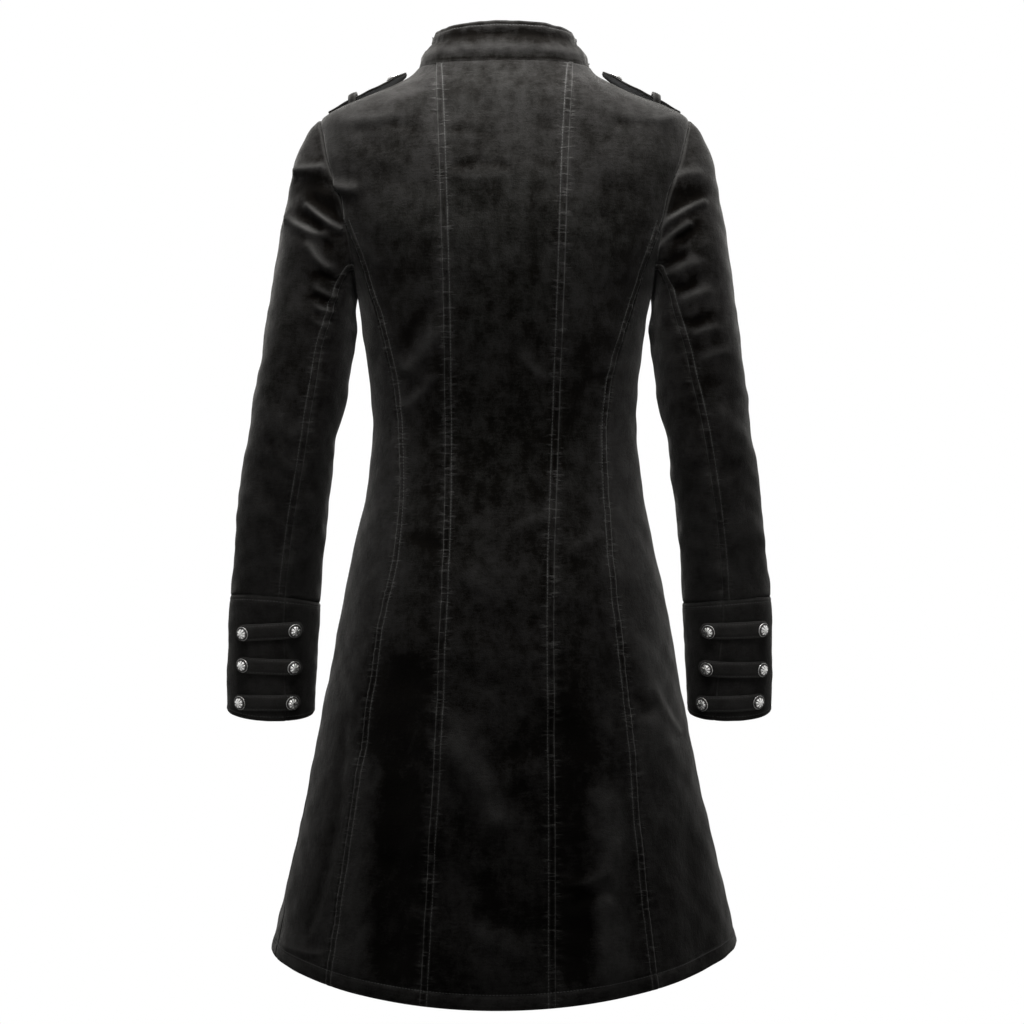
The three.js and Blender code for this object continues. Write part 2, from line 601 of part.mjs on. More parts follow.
function makeSleeve(side) {
  const sign = SIDE_SIGN[side];
  const { cloth, seam } = makeSleeveSurface(side);
  const levelled = (turn, along) => {
    const onCuff = (CUFF_END - along) / (CUFF_END - CUFF_TOP);
    const near = along < CUFF_TOP ? smoothstep(along, 3, CUFF_TOP) : onCuff;
    return along - CUFF_RISE[side] * near * Math.sin(degToRad(turn));
  };
  const capRows = listed(CAP_ROWS, (share) => share);
  const armRows = listed(ARM_ROWS, (share) => lerp(1, CUFF_TOP, share)).slice(1);
  const piece = (name, turns, from, to, { thick, lift, alongs, sewn }) => {
    const last = turns.length - 1;
    const layer = (depth) => {
      const rows = alongs.map((along) =>
        turns.map((turn, i) => {
          const even = lerp(from(along), to(along), i / last);
          const settled = lerp(turn, even, smoothstep(along, 0, 1));
          return cloth(settled, levelled(settled, along), lift - depth);
        }),
      );
      return mirrored(trimmed(rows, sewn), sign);
    };
    add(name, wall(layer(0), layer(thick)), velvet);
  };
  const frontSeam = (along) => lerp(frontSeamTurn, FRONT_SLEEVE_SEAM, clamp(along, 0, 1));
  const upper = ARMHOLE_TURNS.slice(3, -2);
  const belowFront = ARMHOLE_TURNS.slice(0, 4).map((turn) => turn + 360);
  const under = [...ARMHOLE_TURNS.slice(-3, -1), ...belowFront];
  const backSeam = (along) => seam(along) + 360;
  const nextFrontSeam = (along) => frontSeam(along) + 360;
  const arm = { thick: CLOTH, lift: 0, alongs: [...capRows, ...armRows], sewn: ["left", "right", "top"] };
  piece("top_sleeve_" + side, upper, frontSeam, backSeam, arm);
  piece("under_sleeve_" + side, under, backSeam, nextFrontSeam, arm);
  const cuffTurns = listed(20, (share) => share * 360);
  const cuffRows = listed(4, (share) => lerp(CUFF_TOP + CUFF.clear, CUFF_END, share));
  const cuff = { thick: CUFF.thick, lift: CUFF.proud, alongs: cuffRows, sewn: ["left", "right", "bottom"] };
  piece("cuff_" + side, cuffTurns, seam, backSeam, cuff);
}

function makeCuffStraps() {
  for (const { side, number, outer, inner } of STRAPS) {
    const sign = SIDE_SIGN[side];
    const { cloth, plain } = makeSleeveSurface(side);
    const name = side + "_" + number;
    const between = (share) => {
      const arch = STRAP.arch * 4 * share * (1 - share);
      return [lerp(outer[0], inner[0], share), lerp(outer[1], inner[1], share) - arch];
    };
    const [start, middle, end] = [0, 0.5, 1].map((share) => plain(...between(share)));
    const span = start.distanceTo(middle) + middle.distanceTo(end);
    const past = STRAP.past / span;
    const length = span * (1 + 2 * past);
    const across = plain(80, outer[1] + 0.1).distanceTo(plain(80, outer[1])) / 0.1;
    const halfHeight = (share) => {
      const fromEnd = Math.min(share, 1 - share) * length;
      const round = clamp(1 - fromEnd / STRAP.half, 0, 0.95);
      return STRAP.half * Math.sqrt(1 - round ** 2);
    };
    const columns = [0, 0.03, 0.09, 0.2, 0.3, 0.4, 0.5, 0.6, 0.7, 0.8, 0.91, 0.97, 1];
    const layer = (lift) => {
      const rows = [-1, 0, 1].map((up) =>
        columns.map((share) => {
          const [turn, along] = between(lerp(-past, 1 + past, share));
          return cloth(turn, along + (up * halfHeight(share)) / across, CUFF.proud + lift);
        }),
      );
      return mirrored(rows, sign);
    };
    const piece = add("cuff_strap_" + name, wall(layer(SEAM_GAP + STRAP.thick), layer(SEAM_GAP)), velvet);
    for (const [which, place] of Object.entries({ outer, inner })) {
      const outside = cloth(...place, 30);
      const towards = cloth(...place, 0).sub(outside);
      outside.x *= sign;
      towards.x *= sign;
      makeButton("cuff_button_" + name + "_" + which, piece, outside, towards);
    }
  }
}

// The height of the shoulder line at a distance from the centre.
function shoulderHeight(x) {
  let low = ARMHOLE.top;
  let high = BODY.at(-1).z;
  for (let i = 0; i < 40; i += 1) {
    const middle = (low + high) / 2;
    if (halfAt(middle) > x) low = middle;
    else high = middle;
  }
  return low;
}

// The height of the shoulder's cloth at a distance from the centre and behind the shoulder line.
function clothHeight(x, y) {
  let low = -120;
  let high = shoulderHeight(x);
  for (let i = 0; i < 40; i += 1) {
    const middle = (low + high) / 2;
    const share = clamp(x / halfAt(middle), 0, 1) ** roundnessAt(middle);
    const depth = (y > 0 ? backAt(middle) : frontAt(middle)) * (1 - share) ** (1 / roundnessAt(middle));
    if (depth > Math.abs(y)) low = middle;
    else high = middle;
  }
  return low;
}

// The underside of a shoulder strap at a distance from the centre.
function strapUnderside(x, side) {
  const share = (SHOULDER_STRAP.from - x) / (SHOULDER_STRAP.from - SHOULDER_STRAP.to);
  return shoulderHeight(x) + SEAM_GAP + SHOULDER_STRAP_RISE[side] * smoothstep(share, 0.1, 1);
}

function makeShoulderStrap(side) {
  const sign = SIDE_SIGN[side];
  const { from, to, wide, narrow, thick, thin, tip } = SHOULDER_STRAP;
  const halfWidth = (x) => {
    const fromTip = x - to;
    const point = fromTip < tip ? lerp(0.35, 1, Math.sqrt(clamp(fromTip / tip, 0, 1))) : 1;
    return lerp(narrow, wide, (x - to) / (from - to)) * point;
  };
  const columns = [0, 0.15, 0.3, 0.45, 0.6, 0.75, 0.86, 0.93, 1];
  const strapPoint = (share, y, top) => {
    const x = lerp(from, to, share);
    const slope = (strapUnderside(x - 1, side) - strapUnderside(x + 1, side)) / 2;
    const normal = new THREE.Vector3(slope, 0, 1).normalize();
    const height = top ? lerp(thin, thick, smoothstep(share, 0, 0.3)) + 1 - y ** 2 : 0;
    const point = new THREE.Vector3(x, y * halfWidth(x), strapUnderside(x, side));
    return point.addScaledVector(normal, height);
  };
  const layer = (top) => {
    const rows = [-1, -0.5, 0, 0.5, 1].map((y) => columns.map((share) => strapPoint(share, y, top)));
    return mirrored(rows, sign);
  };
  const piece = add("shoulder_strap_" + side, wall(layer(true), layer(false)), velvet);
  const above = new THREE.Vector3(sign * (to + SHOULDER_BUTTON_FROM_TIP), 0, 80);
  makeButton("shoulder_button_" + side, piece, above, new THREE.Vector3(0, 0, -1));
}

// The cloth loop that the shoulder strap passes under, sewn down before and behind it.
function makeLoop(side) {
  const sign = SIDE_SIGN[side];
  const { at, width, thick, over, overhang } = LOOP;
  const strapTop = strapUnderside(at, side) + SHOULDER_STRAP.thick + 1;
  const reach = SHOULDER_STRAP.wide + overhang;
  const nearX = at - width / 2;
  const slope = (shoulderHeight(at - width / 2) - shoulderHeight(at + width / 2)) / width;
  const crest = strapTop + SEAM_GAP + over;
  const foot = (y) => clothHeight(at, y) + 1.2 * SEAM_GAP - shoulderHeight(at) + thick * 0.2;
  const base = shoulderHeight(at);
  const high = crest - base;
  const outline = [
    [-reach - thick, foot(-reach - thick)],
    [-reach - thick + 0.2, high * 0.5],
    [-reach * 0.88, high * 0.95],
    [-reach * 0.4, high + thick],
    [reach * 0.4, high + thick],
    [reach * 0.88, high * 0.95],
    [reach + thick - 0.2, high * 0.5],
    [reach + thick, foot(reach + thick)],
    [reach, foot(reach)],
    [reach - 0.2, high * 0.45],
    [reach * 0.82, high * 0.95 - thick],
    [reach * 0.36, high],
    [-reach * 0.36, high],
    [-reach * 0.82, high * 0.95 - thick],
    [-reach + 0.2, high * 0.45],
    [-reach, foot(-reach)],
  ].map(([y, z]) => new THREE.Vector2(y, z));
  const shape = new THREE.Shape(outline);
  const geometry = new THREE.ExtrudeGeometry(shape, { depth: width, bevelEnabled: false });
  const place = geometry.attributes.position;
  for (let i = 0; i < place.count; i += 1) {
    const x = nearX + place.getZ(i);
    place.setXYZ(i, sign * x, place.getX(i), base + place.getY(i) - slope * (x - at));
  }
  if (sign < 0) {
    for (let i = 0; i < place.count; i += 3) {
      const [a, b] = [i + 1, i + 2].map((n) => new THREE.Vector3().fromBufferAttribute(place, n));
      place.setXYZ(i + 1, b.x, b.y, b.z);
      place.setXYZ(i + 2, a.x, a.y, a.z);
    }
  }
  geometry.computeVertexNormals();
  add("shoulder_loop_" + side, geometry, velvet);
}

function makeFrontButtons() {
  const front = coat.getObjectByName("front_right");
  for (let i = 0; i < FRONT_BUTTONS.count; i += 1) {
    const before = new THREE.Vector3(0.5, -400, FRONT_BUTTONS.first - i * FRONT_BUTTONS.step);
    makeButton("front_button_" + (i + 1), front, before, new THREE.Vector3(0, 1, 0));
  }
}

makeBack();
makeFront();
makeCollar();
for (const side of ["left", "right"]) {
  makeSleeve(side);
  makeShoulderStrap(side);
  makeLoop(side);
}
makeCuffStraps();
makeFrontButtons();

export default coat;
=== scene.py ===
# A fitted, flared velvet coat of military cut, filled out as when worn, with nobody in it.
# The tables hold millimetres, as a pattern cutter's do, and every mesh is made in metres.
# +Z is up, the front faces -Y and +X is the wearer's left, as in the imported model.
import math

import bpy
import numpy as np
from mathutils import Matrix, Vector


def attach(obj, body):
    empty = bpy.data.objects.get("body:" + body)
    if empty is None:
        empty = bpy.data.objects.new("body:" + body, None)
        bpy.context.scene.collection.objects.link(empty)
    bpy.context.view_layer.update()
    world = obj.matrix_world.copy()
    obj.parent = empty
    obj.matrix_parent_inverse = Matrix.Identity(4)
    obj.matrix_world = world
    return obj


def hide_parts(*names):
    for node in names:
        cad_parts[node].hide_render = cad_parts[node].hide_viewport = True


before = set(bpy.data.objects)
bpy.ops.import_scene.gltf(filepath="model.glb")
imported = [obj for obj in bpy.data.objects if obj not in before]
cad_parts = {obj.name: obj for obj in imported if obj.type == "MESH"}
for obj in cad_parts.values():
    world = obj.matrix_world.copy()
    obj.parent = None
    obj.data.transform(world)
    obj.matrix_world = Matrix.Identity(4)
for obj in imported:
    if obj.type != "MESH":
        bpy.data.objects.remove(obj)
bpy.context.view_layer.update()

MM = 0.001
bpy.ops.object.select_all(action="DESELECT")

# The camera stands behind the coat, level with its waist, as in the photo, and far enough away
# that the near side looks hardly larger than the far one.
CAMERA = {"place": (-0.00765, 2.4, -0.4284), "film": 36, "lens": 82.7}

bpy.ops.object.camera_add(location=CAMERA["place"], rotation=(math.pi / 2, 0, math.pi))
camera = bpy.context.object
camera.data.sensor_width = CAMERA["film"]
camera.data.lens = CAMERA["lens"]
bpy.context.scene.camera = camera
bpy.context.scene.view_settings.view_transform = "Standard"

# The studio is a white room with a pale floor at the wearer's feet. A long narrow lamp hangs right
# over the shoulders, so its light grazes the back, and wider ones fill in behind and in front. The
# walls are seen as white, the metal mirrors them, and on the cloth they shine only a little.
FLOOR = {"height": -1.4, "half": 3.0, "far": -2.0, "near": 4.0, "pale": (0.8, 0.8, 0.8, 1)}
# Each lamp has a name, a place, what it is aimed at, its size, power and spread in degrees.
LAMPS = [
    ("overhead", (0.0, 0.13, 0.5), (0.0, 0.12, -0.5), (0.8, 0.2), 20, 180),
    ("behind", (0.0, 0.55, 0.45), (0.0, 0.08, -0.05), (0.8, 0.3), 2.4, 60),
    ("low", (0.0, 1.2, 0.1), (0.0, 0.08, -0.5), (1.6, 0.8), 0.8, 120),
    ("front", (0.0, -1.1, 0.6), (0.0, -0.1, -0.3), (0.8, 0.4), 16, 120),
]
WALL_LIGHT = {"cloth": 0.04, "metal": 0.8}

bpy.ops.mesh.primitive_plane_add(size=2)
floor = bpy.context.object
floor.name = "floor"
floor.scale = (FLOOR["half"], (FLOOR["near"] - FLOOR["far"]) / 2, 1)
floor.location = (0, (FLOOR["near"] + FLOOR["far"]) / 2, FLOOR["height"])
floor_paint = bpy.data.materials.new("floor_paint")
floor_paint.use_nodes = True
floor_paint.node_tree.nodes["Principled BSDF"].inputs["Base Color"].default_value = FLOOR["pale"]
floor.data.materials.append(floor_paint)

room = bpy.data.worlds.new("room")
room.use_nodes = True
background = room.node_tree.nodes["Background"]
background.inputs["Color"].default_value = (1, 1, 1, 1)
ray = room.node_tree.nodes.new("ShaderNodeLightPath")
mirrored_room = room.node_tree.nodes.new("ShaderNodeMapRange")
mirrored_room.inputs["To Min"].default_value = WALL_LIGHT["cloth"]
mirrored_room.inputs["To Max"].default_value = WALL_LIGHT["metal"]
strength = room.node_tree.nodes.new("ShaderNodeMath")
strength.operation = "MAXIMUM"
room.node_tree.links.new(ray.outputs["Is Glossy Ray"], mirrored_room.inputs["Value"])
room.node_tree.links.new(mirrored_room.outputs["Result"], strength.inputs[0])
room.node_tree.links.new(ray.outputs["Is Camera Ray"], strength.inputs[1])
room.node_tree.links.new(strength.outputs["Value"], background.inputs["Strength"])
bpy.context.scene.world = room

for name, place, aim, size, power, spread in LAMPS:
    bpy.ops.object.light_add(type="AREA", location=place)
    light = bpy.context.object
    light.name = "lamp_" + name
    light.data.shape = "RECTANGLE"
    light.data.size, light.data.size_y = size
    light.data.energy = power
    light.data.spread = math.radians(spread)
    towards = Vector(aim) - light.location
    light.rotation_euler = towards.to_track_quat("-Z", "Y").to_euler()

# The velvet is black cotton with a short nap that lies down the coat, on a plain black lining.
# The nap is mottled at random, crushed in fine streaks across the coat, and pressed flat and paler
# along seams and stitches. Light and shade are painted into its colour as well: a painted highlight
# on fold crests, raised puckers, the collar's roll, the shoulders and the seat, and painted shade in
# hollows and at the waist. Beside a seam the thread draws it into short ticks.
# Deep and pale span the random mottle and the painted light and shade; pressed is the paler colour of
# pressed nap and of painted highlights.
VELVET = {
    "deep": (0.0018, 0.0015, 0.0012),
    "pale": (0.0220, 0.0213, 0.0204),
    "pressed": (0.044, 0.043, 0.041),
}
LINING = {"thread": (0.012, 0.012, 0.013), "gap": (0.005, 0.005, 0.005)}


class Wire:
    """A socket in a material, on which sums are written. node() adds any other node."""

    def __init__(self, tree, socket=None):
        self.tree = tree
        self.socket = socket

    def node(self, kind, settings=None, values=None, output=0):
        made = self.tree.nodes.new("ShaderNode" + kind)
        for name, setting in (settings or {}).items():
            setattr(made, name, setting)
        for name, value in (values or {}).items():
            if isinstance(value, Wire):
                self.tree.links.new(value.socket, made.inputs[name])
            else:
                made.inputs[name].default_value = value
        return Wire(self.tree, made.outputs[output] if made.outputs else None)

    def sum(self, operation, first, second):
        return self.node("Math", {"operation": operation}, {0: first, 1: second})

    def __add__(self, other):
        return self.sum("ADD", self, other)

    def __radd__(self, other):
        return self.sum("ADD", other, self)

    def __sub__(self, other):
        return self.sum("SUBTRACT", self, other)

    def __rsub__(self, other):
        return self.sum("SUBTRACT", other, self)

    def __mul__(self, other):
        return self.sum("MULTIPLY", self, other)

    def __rmul__(self, other):
        return self.sum("MULTIPLY", other, self)

    def mixed(self, first, second):
        """Two colours mixed by this value, each a colour of three numbers or a wire."""
        first, second = ((*c, 1) if isinstance(c, tuple) else c for c in (first, second))
        return self.node("Mix", {"data_type": "RGBA"}, {0: self, 6: first, 7: second}, 2)

    def stepped(self, low, high):
        """0 below one value, 1 above another and even between."""
        return self.node("MapRange", {"interpolation_type": "SMOOTHSTEP"}, {0: self, 1: low, 2: high})


def new_material(name):
    material = bpy.data.materials.new(name)
    material.use_nodes = True
    material.node_tree.nodes.clear()
    return material, Wire(material.node_tree)


def finish_material(start, shader_values, height, distance):
    """Ends a material in a Principled shader, with a bump of a given height map."""
    bump = start.node("Bump", {}, {"Height": height, "Distance": distance, "Strength": 1.0})
    shader = start.node("BsdfPrincipled", {}, {**shader_values, "Normal": bump})
    start.node("OutputMaterial", {}, {"Surface": shader})


def noise(start, place, scale, detail=2.0, rough=0.5):
    values = {"Vector": place, "Scale": scale, "Detail": detail, "Roughness": rough}
    return start.node("TexNoise", {}, values)


def stretched_noise(start, place, scales, rough=0.55):
    """Noise drawn out by different scales along X, Y and Z."""
    drawn = start.node("Mapping", {}, {"Vector": place, "Scale": scales})
    return noise(start, drawn, 1.0, 3.0, rough)


def make_velvet():
    material, start = new_material("velvet")
    place = start.node("TexCoord", {}, {}, 3)
    patches = stretched_noise(start, place, (22, 22, 13))
    leaning = stretched_noise(start, place, (85, 85, 60), 0.65)
    streaks = stretched_noise(start, place, (110, 110, 420), 0.6)
    tufts = noise(start, place, 900, 2.0, 0.6)
    ticks = stretched_noise(start, place, (70, 70, 330)).stepped(0.54, 0.66)
    # pressed holds pressed nap and painted highlights on crests; lean holds painted highlight and painted
    # shade.
    pressed = start.node("Attribute", {"attribute_name": "pressed"}, {}, 2)
    drawn = start.node("Attribute", {"attribute_name": "drawn"}, {}, 2)
    lean = start.node("Attribute", {"attribute_name": "lean"}, {}, 2)
    mottle_and_painted_light = (0.28 * patches + 0.36 * leaning + 0.14 * streaks + 0.22 * tufts).stepped(0.34, 0.66)
    # Painted light and shade from the lean attribute are added to the random mottle.
    mottle_and_painted_light = 0.66 * mottle_and_painted_light + 0.9 * lean - 0.43
    # Worn mixes pressed nap along seams and painted highlights on crests towards the paler colour.
    worn = pressed * (0.35 + 0.8 * tufts + 0.5 * streaks) + 0.4 * drawn * ticks
    colour = worn.mixed(mottle_and_painted_light.mixed(VELVET["deep"], VELVET["pale"]), VELVET["pressed"])
    values = {
        "Base Color": colour,
        "Roughness": 0.95 - 0.25 * pressed,
        "Specular IOR Level": 0.0,
        "Sheen Weight": 0.22,
        "Sheen Roughness": 0.4,
        "Sheen Tint": (0.55, 0.54, 0.52, 1),
    }
    height = 0.5 * leaning + 0.2 * streaks + 0.3 * tufts + 0.5 * drawn * ticks
    finish_material(start, values, height, 0.0012)
    return material


def make_lining():
    material, start = new_material("lining")
    place = start.node("TexCoord", {}, {}, 3)
    threads = {"Vector": place, "Scale": 900.0, "Distortion": 0.5}
    across = start.node("TexWave", {"bands_direction": "X"}, threads)
    down = start.node("TexWave", {"bands_direction": "Z"}, threads)
    weave = across * down
    values = {
        "Base Color": weave.mixed(LINING["gap"], LINING["thread"]),
        "Roughness": 0.5 + 0.2 * weave,
        "Specular IOR Level": 0.3,
    }
    finish_material(start, values, weave, 0.0001)
    return material


velvet = make_velvet()
lining = make_lining()

# The body is cut from velvet in nine panels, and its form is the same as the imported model's:
# rings from hem to shoulders, each with a half width, a depth behind and a depth in front.
CLOTH = 2.2
SEAM_GAP = 0.3
OVERLAP = 18
OVERLAP_STEP = 2.1
SIGN = {"left": 1, "right": -1}


def table(columns, *rows):
    return dict(zip(columns.split(), np.array(rows, float).T))


BODY = table(
    "z half back front roundness",
    (-905, 244, 203, 196, 2.0),
    (-870, 236.5, 196, 190, 2.0),
    (-800, 220.5, 182, 177, 2.0),
    (-700, 198, 166, 160, 2.0),
    (-580, 175, 145, 138, 2.0),
    (-500, 160, 128, 124, 2.05),
    (-430, 145, 107, 111, 2.1),
    (-380, 137.5, 92, 104, 2.15),
    (-335, 135, 88, 105, 2.15),
    (-280, 139, 96, 115, 2.2),
    (-240, 144.5, 103, 123, 2.25),
    (-205, 150.5, 107, 125, 2.3),
    (-165, 166.5, 109, 120, 2.4),
    (-120, 182, 106, 106, 2.4),
    (-80, 193, 99, 89, 2.4),
    (-50, 191.5, 92, 74, 2.4),
    (-30, 186, 86, 65, 2.4),
    (-21, 170, 83, 61, 2.4),
    (-13, 152, 80, 57, 2.4),
    (0, 121, 73, 51, 2.35),
    (12, 98, 65, 44, 2.3),
    (24, 87, 57, 38, 2.3),
    (34, 81, 51, 34, 2.3),
)
# The seams, as their distance from the centre line.
INNER_SEAM = table(
    "z left right",
    (-890, 80, 49.5),
    (-750, 73, 50),
    (-655, 67.5, 49.7),
    (-560, 64.3, 48.7),
    (-465, 60.3, 50),
    (-350, 59.2, 54.5),
    (-220, 60.5, 59),
    (-75, 65, 63.8),
)
OUTER_SEAM = table(
    "z left right",
    (-890, 173, 149),
    (-750, 154, 133.5),
    (-660, 141, 127.3),
    (-611, 135, 122.8),
    (-536, 123.7, 115.2),
    (-468, 110, 107.5),
    (-425, 105, 105.3),
    (-358, 105.2, 102.3),
    (-300, 111.2, 107.3),
    (-235, 126, 125),
    (-190, 140.5, 139),
)
FRONT_SEAM = table(
    "z left right",
    (-890, 118, 118),
    (-700, 97, 97),
    (-500, 80, 80),
    (-340, 70, 70),
    (-205, 96, 96),
    (-155, 132, 132),
)
SIDE_SEAM_AWAY = {"left": 17, "right": 0}
HEM = {"side": -868, "back": -895, "front": -880, "tilt": 2.5}
NECK = {"half": 88, "back": 21, "side": 23, "front": -48, "curve": 1.3}
ARMHOLE = {"top": -30, "bottom": -207, "back_inset": 0.11, "front_inset": 0.16}
MEETS = {"outer_seam": -134, "front_seam": -122, "inner_seam": 69.5}
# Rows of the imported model: the seams reach the armhole at the first, the neck at the second and
# the shoulder at the third.
ARMHOLE_ROW, NECK_ROW, SHOULDER_ROW = 16, 21, 23

# Folds and creases as seen from behind: a ridge between two points, or a trough where height is
# negative. The hidden front has the same ones, mirrored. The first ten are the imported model's.
BODY_FOLDS = table(
    "x1 z1 x2 z2 width height",
    (100, -560, 110, -885, 26, -5),
    (128, -660, 146, -885, 22, 4),
    (50, -640, 2, -730, 16, 4),
    (-60, -600, -68, -885, 20, -4),
    (-96, -690, -102, -885, 20, 4),
    (-122, -560, -160, -670, 15, 5),
    (-116, -560, -140, -630, 10, -5),
    (205, -700, 222, -880, 16, 4),
    (-180, -740, -205, -880, 22, -4),
    (101, -290, 66, -250, 9, 3),
    (101, -326, 67, -291, 7, 2.2),
    (96, -262, 72, -226, 7, -1.6),
    (-12, -264, -43, -300, 6, 1.6),
    (58, -90, -12, -92, 4, -1.3),
    (57, -96, -6, -97, 5, 1.0),
    (56, -53, 6, -60, 4, -1.2),
    (-112, -37, -176, -31, 5, 2.0),
    (-106, -45, -150, -41, 5, -1.4),
    (163, -38, 108, -36, 8, 2.4),
    (150, -49, 84, -50, 6, -1.6),
    (190, -92, 142, -110, 6, 4.0),
    (176, -110, 150, -123, 6, -1.8),
    (158, -128, 120, -186, 8, 1.4),
    (-140, -596, -180, -652, 5, 1.8),
    (218, -855, 168, -853, 3.5, 1.4),
    (-110, -728, -103, -900, 7, 1.8),
    (60, -480, 20, -500, 10, 1.2),
    (-50, -430, -10, -445, 9, 1.2),
    (90, -452, 58, -470, 8, -1.4),
    (-95, -452, -58, -470, 8, 1.4),
    (38, -560, -30, -575, 14, 1.2),
    (-40, -642, 10, -668, 12, -1.4),
    (-58, -782, -100, -772, 6, 1.5),
    (-64, -800, -104, -792, 6, -1.3),
    (30, -820, -20, -850, 14, 1.6),
    (112, -760, 84, -800, 12, -1.6),
    (168, -565, 212, -868, 4, 1.5),
    (160, -600, 203, -868, 6, -1.2),
)


def curve(rows, key, column):
    """A smooth curve through one column of a table, read at values of its key column."""
    at, value = rows[key], rows[column]
    slope = np.gradient(value)
    slope[1:-1] = (value[2:] - value[:-2]) / (at[2:] - at[:-2])
    slope[[0, -1]] = (value[[1, -1]] - value[[0, -2]]) / (at[[1, -1]] - at[[0, -2]])

    def read(where):
        i = np.clip(np.searchsorted(at, where) - 1, 0, len(at) - 2)
        span = at[i + 1] - at[i]
        t = np.clip((where - at[i]) / span, 0, 1)
        return (
            value[i] * (2 * t**3 - 3 * t**2 + 1)
            + slope[i] * span * (t**3 - 2 * t**2 + t)
            + value[i + 1] * (3 * t**2 - 2 * t**3)
            + slope[i + 1] * span * (t**3 - t**2)
        )

    return read


def lerp(first, second, share):
    return first + (second - first) * share


def smoothstep(value, low, high):
    t = np.clip((value - low) / (high - low), 0, 1)
    return t * t * (3 - 2 * t)


def peak(value, at, width):
    """1 where a value is at its place, fading evenly to 0 over a width to both sides."""
    return np.exp(-(((value - at) / width) ** 2))


def bend(value, power):
    return np.sign(value) * np.abs(value) ** power


def unit(vectors):
    return vectors / np.linalg.norm(vectors, axis=-1, keepdims=True)


half_at, back_at = curve(BODY, "z", "half"), curve(BODY, "z", "back")
front_at, roundness_at = curve(BODY, "z", "front"), curve(BODY, "z", "roundness")


def ring_point(places):
    """Points of the body. A place is an angle, 0 at the centre back and 90 at the left, and a height."""
    turn, z = np.radians(places[..., 0]), places[..., 1]
    power = 2 / roundness_at(z)
    depth = np.where(np.cos(turn) > 0, back_at(z), front_at(z))
    return np.stack([half_at(z) * bend(np.sin(turn), power), depth * bend(np.cos(turn), power), z], -1)


def normals_of(surface, places, du, dv):
    along_u = surface(places + [du, 0]) - surface(places - [du, 0])
    along_v = surface(places + [0, dv]) - surface(places - [0, dv])
    return unit(np.cross(along_u, along_v))


def fold_lift(folds, points, normals):
    """How far the folds of a table lift the cloth, how near each point is to a sharp crest, where a
    painted highlight goes, and the painted light and shade of the folds: over 0.5 on a ridge, as a
    painted highlight, and under it in a hollow, as painted shade."""
    facing = smoothstep(np.abs(normals[..., 1]), 0.1, 0.6)
    x = np.where(normals[..., 1] > 0, points[..., 0], -points[..., 0])
    z = points[..., 2]
    lift = np.zeros(x.shape)
    crest = np.zeros(x.shape)
    lean = np.full(x.shape, 0.5)
    for x1, z1, x2, z2, width, height in zip(*folds.values()):
        run, rise = x2 - x1, z2 - z1
        length = math.hypot(run, rise)
        share = ((x - x1) * run + (z - z1) * rise) / length**2
        # The line of a fold bows a little, and its crest is sharpest in the middle.
        bow = 0.06 * length * (1 - (2 * share - 1) ** 2) * np.sign(height)
        aside = ((x - x1) * -rise + (z - z1) * run) / length - np.where(width < 10, bow, 0)
        past = length * np.maximum(np.abs(share - 0.5) - 0.38, 0)
        away = np.hypot(aside, past)
        raised = height * facing * peak(away, 0, width)
        lift += raised
        # Painted highlight on ridges and painted shade in hollows, in proportion to the fold's height.
        lean += 0.16 * raised
        if 0 < height and width < 10:
            sharp = np.clip(1 - (2 * share - 1) ** 2, 0, 1) ** 1.5
            # A painted highlight along the sharp crest of a narrow ridge.
            crest += height / width * facing * sharp * peak(2.4 * aside, 0, width)
    return lift, crest, lean


# Light and shade are painted on by height: a painted highlight where the light falls, on the
# shoulders and at the seat, and painted shade at the waist and in the flare of the hem.
LIGHT_BY_HEIGHT = table(
    "z middle side",
    (-900, 0.38, 0.38),
    (-800, 0.32, 0.32),
    (-680, 0.38, 0.34),
    (-580, 0.32, 0.38),
    (-500, 0.30, 0.50),
    (-430, 0.28, 0.58),
    (-320, 0.26, 0.36),
    (-240, 0.36, 0.32),
    (-120, 0.42, 0.42),
    (-70, 0.50, 0.56),
    (-35, 0.58, 0.68),
    (0, 0.52, 0.74),
)
# A painted sheen makes the side back panels, the right one most, paler than the panels beside them.
PANEL_SHEEN = {"side_back_right": 0.18, "side_back_left": 0.02}


def painted_light_at(points, half):
    """The painted light and shade for a place on the coat, between its middle and its sides."""
    aside = smoothstep(np.abs(points[..., 0]) / half, 0.5, 0.8)
    z = points[..., 2]
    return lerp(curve(LIGHT_BY_HEIGHT, "z", "middle")(z), curve(LIGHT_BY_HEIGHT, "z", "side")(z), aside) - 0.5


def waviness(points, length, seed):
    """Low uneven waves of about a given length, the same wherever two pieces meet."""
    random = np.random.default_rng(seed)
    total = np.zeros(points.shape[:-1])
    waves = 14
    for _ in range(waves):
        direction = unit(random.normal(size=3)) * 2 * math.pi / (length * random.uniform(0.7, 1.5))
        total += np.sin(points @ direction + random.uniform(0, 2 * math.pi))
    return total / math.sqrt(waves)


def rumpled(points, waves):
    """The low waves that cloth keeps from wear, each given by its height, length and seed."""
    return sum(height * waviness(points, length, seed) for height, length, seed in waves)


def unevenness(points, seed, length=16):
    """How strongly a seam or a stitched line shows, which comes and goes along it."""
    return 0.75 + 0.35 * waviness(points, length, seed)


def angle_at(x, z, behind):
    """The angle at which the body's ring is a given distance from the centre line."""
    share = np.clip(np.abs(x) / half_at(z), 0, 1) ** (roundness_at(z) / 2)
    angle = np.degrees(np.arcsin(share))
    return np.sign(x) * np.where(behind, angle, 180 - angle)


def placed(angle, z):
    angle, z = np.broadcast_arrays(angle, z)
    return np.stack([angle, z], -1).astype(float)


def hem_height(angle):
    turn = np.radians(angle)
    dip = np.where(np.cos(turn) > 0, HEM["back"], HEM["front"])
    return lerp(HEM["side"], dip, np.cos(turn) ** 2) - HEM["tilt"] * np.sin(turn)


